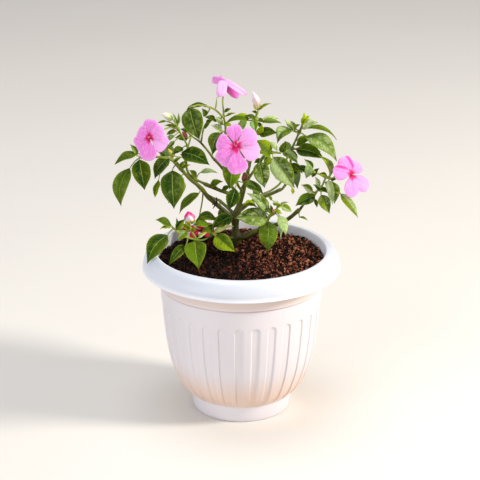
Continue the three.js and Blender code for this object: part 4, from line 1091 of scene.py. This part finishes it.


# %% [markdown]
# ## What hangs on a stalk
#
# A stalk that holds a bloom or a bud has to end right behind it. The blooms and the buds are listed
# before the stalks are made, so that each stalk can ask for its end. A bloom has its middle, the way
# it faces, the way of its spur, and its petals: the spot of the tip, the width, the layer and the
# options. A bud has the spots of its base and its tip, and its width.

# %% Blooms and buds as rows
# a petal's pale option is a painted highlight on a petal that faces the light
BLOOMS = {
    "bloom_centre": ((236, 146, -30), (-0.08, -0.93, 0.36), (0.25, 0.6, -0.75), [
        ((233.5, 124.5), 15, 0, {}), ((255.5, 132.5), 17.5, 1, {"pale": 0.3}),
        ((259, 154), 18.5, 0, {"pale": 0.6}), ((238, 174), 19.5, 1, {}),
        ((219.5, 163.5), 17.5, 0, {}), ((216.5, 142), 17.5, 1, {})]),
    "bloom_left": ((149.5, 137.5, -14), (-0.3, -0.88, 0.38), (0.45, 0.6, -0.65), [
        ((150.6, 119), 15, 0, {}), ((163.4, 129.5), 15.5, 1, {"pale": 0.2}),
        ((166.6, 146.4), 16.2, 0, {"pale": 0.5}), ((147.8, 160.4), 17.6, 1, {}),
        ((135.6, 147), 16.4, 0, {}), ((137.8, 130.5), 15, 1, {})]),
    "bloom_right": ((351.4, 174.6, 14), (0.35, -0.87, 0.36), (0.4, 0.6, -0.7), [
        ((342, 157), 16.5, 1, {"pale": 0.2, "edge_shadow": 1.0}), ((358.5, 162), 16.5, 0, {"pale": 0.3}),
        ((368.5, 189), 14.5, 0, {"pale": 0.35}), ((351.8, 197), 17, 1, {"pale": 0.25}),
        ((333.5, 170.5), 16, 2, {"pale": 0.2, "edge_shadow": 1.0})]),
    "bloom_top": ((224.6, 81.5, 34), (0.3, -0.3, 0.9), (-0.3, 0.5, -0.8), [
        ((211.3, 79.8, 41), 7.6, 0, {"star": 0, "pale": 0.1, "root": (223, 80.5, 34.5)}),
        ((219.2, 75.2, 47), 2.6, 0, {"star": 0, "pale": 0.8, "root": (224.8, 80.8, 35)}),
        # the lower right petal is deep pink: partly the hot pink round the eye, partly painted shade, as it
        # lies under the petal above
        ((238.5, 97.3, 36), 10.5, 0, {"deep": 0.7, "root": (225.2, 82.2, 35)}),
        ((246.5, 94.8, 31), 6.6, 0, {"star": 0, "pale": 0.9, "root": (224.6, 80.2, 33)}),
        ((220.6, 97, 24), 10.2, 0, {"star": 0, "pale": 0.75, "root": (223.2, 80.4, 33)})]),
    "bloom_crimson": ((200, 230, 42), (-0.1, -0.75, 0.65), (0.9, 0.4, -0.3), [
        ((199, 220), 8, 0, {}), ((212, 224), 8, 1, {"deep": 0.6}), ((211, 236), 7, 0, {}),
        ((190, 237), 7, 1, {}), ((182, 227.5), 7, 0, {})]),
}
BUDS = {
    "bud_white": ((172, 118.5, 7), (161, 113.8, 6), 6.5),
    "bud_pink": ((257.6, 108.5, 36), (252.6, 91.5, 34), 7.5),
    "bud_yellow": ((173, 157, 10), (168, 149, 8), 4.5),
    "bud_red": ((187, 137.5, 15), (182, 131.5, 15), 4),
    "bud_opening": ((189.8, 223, -4), (188, 211.3, -5), 11),
    "bud_withered": ((246, 173, 22), (243, 183.5, 20), 6),
}


def hold_point(name):
    """Where a stalk ends: at a bud's base, or behind a bloom, on the side away from its spur."""
    if name in BUDS:
        base, tip = seen(BUDS[name][0]), seen(BUDS[name][1])
        return base + unit(tip - base) * 0.3
    middle, facing, spur, _ = BLOOMS[name]
    out = unit(np.array(facing))
    aside = np.array(spur) - out * np.dot(spur, out)
    return seen(middle) - out * 1.9 - unit(aside) * 1.9


# %% [markdown]
# ## The leaves' finish
#
# A leaf's colour is its tone, which holds painted light and shade as well as the leaf's own green. The
# lay tells the finish how far along the vein pattern a point is, and how far from the midrib: a vein
# shows wherever the pattern crosses a whole number. Veins are paler and lie in grooves. Silvery
# patches fill the space between the veins on some leaves; they are partly variegation and partly
# painted sheen. The edge is a little lighter. A waxy layer gives the soft highlights.

# %% The leaves' finish
leaf_skin = Finish("leaf_skin", Specular_IOR_Level=0.07)
vein_phase, from_rib, silver_and_sheen = leaf_skin.parts(leaf_skin.laid("lay"))
aside = abs(from_rib)
wobble = leaf_skin.noise(300.0, 3.0)
waver = vein_phase + wobble * 0.14
side_vein = 1.0 - abs(waver.maths("PINGPONG", waver, 0.5)).between(0.0, 0.12)
side_vein = side_vein * (1.0 - aside.between(0.8, 0.97))
midrib = 1.0 - aside.between(0.02, 0.075)
patch = leaf_skin.noise(170.0, 4.0, 0.62)
mottle = leaf_skin.noise(95.0, 4.0, 0.6)
between_veins = (1.0 - side_vein) * aside.between(0.06, 0.28) * (1.0 - aside.between(0.75, 1.0))
leaf_skin.dress("Base Color", leaf_skin.layered(
    leaf_skin.laid("tone", output="Color"),
    ("1d3606", mottle.between(0.42, 0.75, 0.0, 0.5)),
    ("a7b52c", patch.between(0.52, 0.75, 0.0, 0.3)),
    # silvery patches between the veins: partly the leaf's own variegation, partly painted sheen
    ("b6c88c", silver_and_sheen * patch.between(0.42, 0.6) * between_veins),
    ("86a01a", aside.between(0.4, 1.0, 0.0, 0.25)),
    ("9db235", side_vein * 0.17),
    ("b9c860", midrib * 0.4),
    ("c0c84e", aside.between(0.93, 1.0) * 0.5),
))
leaf_skin.dress("Roughness", 0.3 + mottle * 0.18 + side_vein * 0.1)
leaf_skin.bump(wobble * 0.3 + patch * 0.9 - side_vein * 0.6 - midrib * 0.8, 0.8, 0.0009)


# %% The leaves and their stalks
SIDE_SHOOT_RADII = (1.15, 0.9)
HOLDING_RADII = (0.95, 0.7)
for order, (name, (limb, radii, shoots, leaves, holds)) in enumerate(SPRAYS.items()):
    blades, stalks = Skin(), Skin()
    limb_way, end_tone = limbs[limb][0], limbs[limb][4]
    onward = unit(limb_way[-1] - limb_way[-2])
    first = limb_way[-1] + onward * 0.3
    ways = [seen_way(shoot) for shoot in shoots]
    ways[0] = [first, first + onward * 1.5, *ways[0]]
    rows = leaves.strip().splitlines()
    joints = [nearest_point(ways, seen(map(float, row.split()[:3]))) for row in rows]
    # the first shoot starts a little way inside its limb
    deeper = [[ways[0][0] - unit(ways[0][1] - ways[0][0]) * 2.5, *ways[0]], *ways[1:]]
    for i, way in enumerate(deeper):
        tones = (end_tone, TONES["young"]) if i == 0 else SHOOT_TONES
        tube(stalks, way, *(SIDE_SHOOT_RADII if i else radii), 10, tones, swellings=joints)
    for held, way in holds.items():
        tube(stalks, [*seen_way(way), hold_point(held)], *HOLDING_RADII, 8, SHOOT_TONES)
    for k, row in enumerate(rows):
        leaf(blades, stalks, ways, row, seed=100 * order + k)
    blades.piece("leaves_" + name, leaf_skin, "leaf", "spray_" + name, crease=70.0)
    stalks.piece("stalks_" + name, stem_skin, "stem", "spray_" + name)


# %% [markdown]
# ## A petal
#
# A petal is narrow where it joins the eye, broad and round further out, with a round end. It is
# drawn as an outline round its base, and shrunk copies of the outline fill it with rings. The rings
# are lifted into a shallow cup with a wavy edge and a crease along the middle.

# %% A petal
CLOSE_PETAL = [(0, 0.1), (0.1, 0.21), (0.2, 0.29), (0.3, 0.41), (0.38, 0.55), (0.46, 0.77), (0.56, 0.97),
               (0.67, 1.04), (0.78, 1.03), (0.88, 0.87), (0.95, 0.62), (0.99, 0.33), (1.0, 0.0)]
BROAD_PETAL = [(0, 0.12), (0.1, 0.32), (0.2, 0.55), (0.32, 0.78), (0.45, 0.94), (0.6, 1.03), (0.75, 0.98),
               (0.87, 0.8), (0.95, 0.54), (0.99, 0.28), (1.0, 0.0)]
HOOD_PETAL = [(0, 0.3), (0.05, 0.62), (0.13, 0.86), (0.28, 0.98), (0.45, 1.0), (0.62, 1.0), (0.77, 0.93),
              (0.88, 0.76), (0.95, 0.52), (0.99, 0.28), (1.0, 0.0)]
PETAL_SHRINK = np.array([0.03, 0.12, 0.24, 0.37, 0.5, 0.63, 0.75, 0.86, 0.94, 0.985, 1.0])
LAYER_STEP = 0.9


def petal(skin, centre, out, row, seed, shape):
    """A petal from its row: the spot of its tip, its width, its layer and its options. A petal with
    a root of its own stands free of the bloom's face, and then it faces the viewer."""
    spot, width, layer, options = row
    draw = np.random.default_rng(seed)
    if "root" in options:
        root, end = seen(options["root"]), seen(spot)
        out = unit(EYE - root)
    else:
        level = centre + out * layer * LAYER_STEP
        end = seen_on_face(spot, level, out)
        root = level + 0.06 * (end - level)
    length = np.linalg.norm(end - root)
    along = unit(end - root)
    face = unit(out - along * np.dot(out, along))
    across = np.cross(along, face)
    half = smooth_through(shape, 3)
    outline = np.concatenate([half * [1, -1], half[-2::-1]])
    turn = np.linspace(-1, 1, len(outline))
    far_out = np.clip(outline[:, 0] * 2 - 0.6, 0, 1)
    ripple = 1 + 0.022 * np.sin(turn * draw.uniform(9, 13) + draw.uniform(0, 6.3)) * far_out
    outline = outline * ripple[:, None]
    grid = outline[None, :, :] * PETAL_SHRINK[:, None, None]
    t, w = grid[..., 0], grid[..., 1]
    shrink = PETAL_SHRINK[:, None] * np.ones_like(t)
    wave = draw.uniform(0.35, 0.7) * np.sin(turn * draw.uniform(7, 11) + draw.uniform(0, 6.3)) * shrink**4
    cup = 0.07 * length * 4 * t * (1 - t)
    gutter = -0.1 * w**2 * width / 4
    crease = -0.4 * np.exp(-((w / 0.12) ** 2)) * np.clip(t * (1.1 - t) * 4, 0, 1)
    tilt = 0.5 * w * np.clip(t * 2, 0, 1)
    furl = -0.8 * np.clip((shrink - 0.8) / 0.2, 0, 1) ** 2
    height = cup + wave + crease + tilt + furl + gutter
    middle = root + (t * length)[..., None] * along + (w * width / 2)[..., None] * across
    middle = middle + height[..., None] * face
    thick = 0.22 * np.clip(1 - shrink**10, 0, 1)
    lay = np.stack([t, w, shrink], axis=-1)
    # a painted shadow along one edge, where the next petal meets it
    painted_edge_shadow = options.get("edge_shadow", 0.0) * np.exp(-(((w - 0.62) / 0.2) ** 2))
    painted_edge_shadow = painted_edge_shadow * np.clip(2.2 - 1.6 * t, 0, 1)
    depth = np.clip(options.get("deep", 0.0) * (1.15 - 0.7 * t) + painted_edge_shadow, 0, 1)
    share = np.ones_like(depth)
    # the tone holds the darker pink with the painted edge shadow, the painted highlight of lit petals, and
    # the eye's star
    tone = np.stack([depth, share * options.get("pale", 0.0), share * options.get("star", 1.0)], axis=-1)
    # the outermost ring is shared by the top and the underside
    both = lambda top, under: np.concatenate([top.reshape(-1, 3), under[:-1].reshape(-1, 3)])
    upper = numbers(*t.shape)
    lower = np.concatenate([numbers(len(t) - 1, t.shape[1], upper.size), upper[-1:]])
    faces = turned_over(quads(upper)) + quads(lower) + quads(np.c_[upper[:, 0], lower[:, 0]])
    faces += turned_over(quads(np.c_[upper[:, -1], lower[:, -1]])) + [upper[0], lower[0, ::-1]]
    faces.append((upper[0, 0], upper[0, -1], lower[0, -1], lower[0, 0]))
    faces = [list(dict.fromkeys(face)) for face in faces]
    lift = thick[..., None] * face
    closed = [face[::-1] for face in faces if len(face) > 2]
    skin.add(both(middle + lift, middle - lift), closed, both(tone, tone), both(lay, lay))


# %% [markdown]
# ## The petals' finish
#
# The petals are lilac-pink, paler at the rim, and turn hot pink in a star round the eye. The lay
# gives how far out a point is and how far from the petal's middle, so the star's points run along
# the middle of each petal. Thin darker lines fan out from the eye. Petals that face the light are
# paler, a painted highlight, and some have a painted shadow along an edge where the next petal lies.

# %% The petals' finish
def petal_finish(name, pale, rim, body, deep, eye):
    made = Finish(name, Specular_IOR_Level=0.25, Sheen_Weight=0.1)
    outward, beside, shrink = made.parts(made.laid("lay"))
    depth, painted_highlight, starred = made.parts(made.laid("tone", output="Color"))
    soft = made.noise(260.0, 4.0, 0.6)
    streaks = made.node("CombineXYZ", {}, {0: outward * 2.2, 1: beside * 9.0, 2: soft})
    streak = made.noise(1.6, 3.0, 0.6, where=streaks)
    waves = beside / (outward + 0.25) * 24.0 + soft * 4.0
    lines = waves.maths("SINE", waves)
    star = 1.0 - (outward + abs(beside) * 0.45 + soft * 0.14).between(0.19, 0.46)
    made.dress("Base Color", made.layered(
        body,
        # pale streaks, and on petals that face the light a painted highlight
        (pale, streak.between(0.45, 0.75, 0.0, 0.75) * (1.0 - painted_highlight) + painted_highlight),
        (rim, (shrink + soft * 0.2).between(0.85, 1.12, 0.0, 0.8)),
        (deep, lines.between(0.4, 1.0) * (1.0 - outward.between(0.35, 0.95)) * 0.22),
        # darker pink from each petal's tone: its deep share and the painted edge shadow
        (deep, depth),
        (eye, star * starred),
    ))
    made.dress("Roughness", 0.48 + soft * 0.15)
    made.bump(lines * 0.4 + soft + streak, 0.3, 0.0004)
    return made


pink_skin = petal_finish("pink_petals", "f8c8f2", "f4a6e6", "e87ad2", "de2496", "dc0670")
crimson_skin = petal_finish("crimson_petals", "d84a5c", "d8324a", "c4182e", "8a0a1c", "7a0a1c")


# %% [markdown]
# ## The blooms
#
# Behind each flat bloom is a small green cup and a long thin spur that holds the nectar. In front,
# over the eye, sits a tiny pale cap of joined stamens. A bloom without them would look cut out of
# paper from the side.

# %% The blooms
heart_skin = Finish("bloom_hearts", Roughness=0.5)
heart_noise = heart_skin.noise(900.0, 2.0)
heart_skin.dress("Base Color", heart_skin.layered(
    heart_skin.laid("tone", output="Color"), ("6b4a44", heart_noise.between(0.5, 0.8, 0.0, 0.5))))
heart_skin.bump(heart_noise, 0.4, 0.0004)


def bloom(name, finish, slot, light, deep):
    middle, facing, spur, rows = BLOOMS[name]
    centre, out, back = seen(middle), unit(np.array(facing)), unit(np.array(spur))
    free = any("root" in row[3] for row in rows)
    shape = HOOD_PETAL if free else CLOSE_PETAL if len(rows) == 6 else BROAD_PETAL
    petals, heart = Skin(), Skin()
    for k, row in enumerate(rows):
        petal(petals, centre, out, row, seed=len(name) * 10 + k, shape=shape)
    petals.piece(name.replace("bloom", "petals"), finish, slot, name)
    small = 0.55 if free else 1.0
    tube(heart, [centre - out * 2.2, centre - out * 1.2, centre - out * 0.3], 1.9, 2.3, 14, SHOOT_TONES)
    tail = [centre - out * 0.5, centre - out * 4.5, centre - out * 7 + back * 6,
            centre - out * 7.6 + back * 16]
    tube(heart, tail, 1.4, 0.45, 10, (rgb(deep), rgb(light)))
    eye = [centre - out * 0.4, centre + out * small, centre + out * 2.5 * small]
    tube(heart, eye, 2.2, 1.5 * small, 14, (rgb(deep), rgb(deep)))
    cap_end = centre + out * 3.5 * small - np.array([0, 0, 0.3])
    cap = [centre + out * 1.8 * small, centre + out * 2.8 * small, cap_end]
    tube(heart, cap, 1.25 * small, small, 12, (rgb("96584e"), rgb("a0735e")))
    heart.piece(name.replace("bloom", "heart"), heart_skin, slot, name)


for name in BLOOMS:
    if name == "bloom_crimson":
        bloom(name, crimson_skin, "crimson_petal", "c4182e", "7a0a1c")
    else:
        bloom(name, pink_skin, "pink_petal", "f0a6e6", "c60a66")


# %% [markdown]
# ## The buds
#
# A bud is a pointed drop of rolled petals in a small green cup. The rolled petals show as ridges
# that wind a little round the drop, so each ring of points is pushed out along them. Each bud has
# its own tones, from the cup to the tip.

# %% The buds
BUD_SHAPE = [(0, 0.3), (0.06, 0.6), (0.15, 0.82), (0.3, 0.98), (0.45, 1.0), (0.6, 0.9), (0.75, 0.66),
             (0.87, 0.38), (0.95, 0.18), (1, 0.04)]
BUD_SIDES = 30
BUD_RIDGES = 5


def bud(name, slot, colours, wind=1.2, sepals=3, tongue=None):
    """A bud with its colours from the cup to the tip. A tongue is a patch of its own colour on the
    side towards the viewer."""
    base_spot, tip_spot, width = BUDS[name]
    base, tip = seen(base_spot), seen(tip_spot)
    along = unit(tip - base)
    length = np.linalg.norm(tip - base)
    side = unit(np.cross([0.3, 0.5, 0.8], along))
    other = np.cross(along, side)
    angles = 2 * math.pi * np.arange(BUD_SIDES) / BUD_SIDES
    tones = [rgb(colour) for colour in colours.split()]
    skin = Skin()
    rings, shades = [], []
    for t, share in smooth_through(BUD_SHAPE, 3):
        ridge = 1 + 0.09 * np.cos(BUD_RIDGES * (angles + wind * t)) * min(1, 6 * t * (1 - t))
        middle = base + along * t * length + other * 0.05 * length * math.sin(math.pi * t)
        rings.append(ring(middle, side, other, share * width / 2 * ridge, BUD_SIDES))
        place = t * (len(tones) - 1)
        low = min(int(place), len(tones) - 2)
        shade = np.tile(tones[low] * (1 - place + low) + tones[low + 1] * (place - low), (BUD_SIDES, 1))
        if tongue:
            front = ring(np.zeros(3), side, other, 1.0, BUD_SIDES) @ unit(EYE - base)
            cover = np.clip((front - 0.35 - 0.9 * max(0.0, t - 0.25)) * 5, 0, 1)
            cover = cover * np.clip((t - 0.25) * 8, 0, 1)
            shade = shade * (1 - cover[:, None]) + rgb(tongue) * cover[:, None]
        shades.append(shade)
    grid = numbers(len(rings), BUD_SIDES)
    faces = ring_faces(*grid.shape) + [grid[0, ::-1], grid[-1]]
    skin.add(np.concatenate(rings), faces, np.concatenate(shades))
    for k in range(sepals):
        angle = 2 * math.pi * k / sepals + 0.4
        spoke = math.cos(angle) * side + math.sin(angle) * other
        way = [base + spoke * width * 0.14, base + spoke * width * 0.46 + along * 0.1 * length,
               base + spoke * width * 0.53 + along * 0.28 * length]
        tube(skin, way, 0.16 * width, 0.05 * width, 8, SHOOT_TONES, steps=4)
    skin.piece(name, heart_skin, slot, name)


bud("bud_white", "pale_bud", "8fa83c d5dfb0 eef0d8 f0ecdc")
bud("bud_pink", "pale_bud", "b5a838 e8c8bc f6d9e4 f9e2ee")
bud("bud_yellow", "olive_bud", "7f9420 c9c04a d8cf66")
bud("bud_red", "red_bud", "8c5a34 c8505a d0606a", sepals=2)
bud("bud_opening", "hot_pink_bud", "8f9a1c d8b83a ee6aa0 ea1486 ea1486", tongue="faf2f4")
bud("bud_withered", "dry_capsule", "6b3a22 9a4e30 6e3422", wind=2.4, sepals=2)


# %% [markdown]
# ## The floor and the light
#
# The stage is plain: a pale floor and soft lamps. The strongest lamp stands to the right and a
# little in front, warm and high, so leaves shine along their right edges and the planter's left
# side falls into a cool half shade. A wide, dim, cool lamp in front keeps the shade open.

# %% The floor and the light
FLOOR_REACH = 6.0
LAMPS_AIM = Vector((0, 0, 0.17))
floor_mesh = bpy.data.meshes.new("floor")
corners = [(x * FLOOR_REACH, y * FLOOR_REACH, 0) for x, y in ((-1, -1), (1, -1), (1, 1), (-1, 1))]
floor_mesh.from_pydata(corners, [], [(0, 1, 2, 3)])
floor = placed("floor", floor_mesh)
floor_finish = Finish("floor_paper", Roughness=0.9)
floor_finish.dress("Base Color", floor_finish.layered("e4dfd8", ("eae6df", floor_finish.noise(3.0, 3.0))))
floor_mesh.materials.append(floor_finish.material)


def lamp(name, place, size, power, colour):
    data = bpy.data.lights.new(name, "AREA")
    data.shape = "DISK"
    data.size = size
    data.energy = power
    data.color = colour
    made = placed(name, data)
    made.location = place
    made.rotation_euler = (LAMPS_AIM - Vector(place)).to_track_quat("-Z", "Y").to_euler()


lamp("key_lamp", (1.9, -0.42, 1.15), 0.5, 50, (1.0, 0.95, 0.87))
lamp("fill_lamp", (-1.6, -1.8, 1.0), 2.0, 27, (0.88, 0.94, 1.0))
lamp("top_lamp", (-0.3, 0.3, 2.3), 1.6, 20, (0.98, 0.98, 1.0))
world = bpy.data.worlds.new("studio")
world.use_nodes = True
world.node_tree.nodes["Background"].inputs["Color"].default_value = (0.97, 0.97, 1.0, 1.0)
world.node_tree.nodes["Background"].inputs["Strength"].default_value = 0.4
bpy.context.scene.world = world
bpy.context.scene.view_settings.view_transform = "Standard"
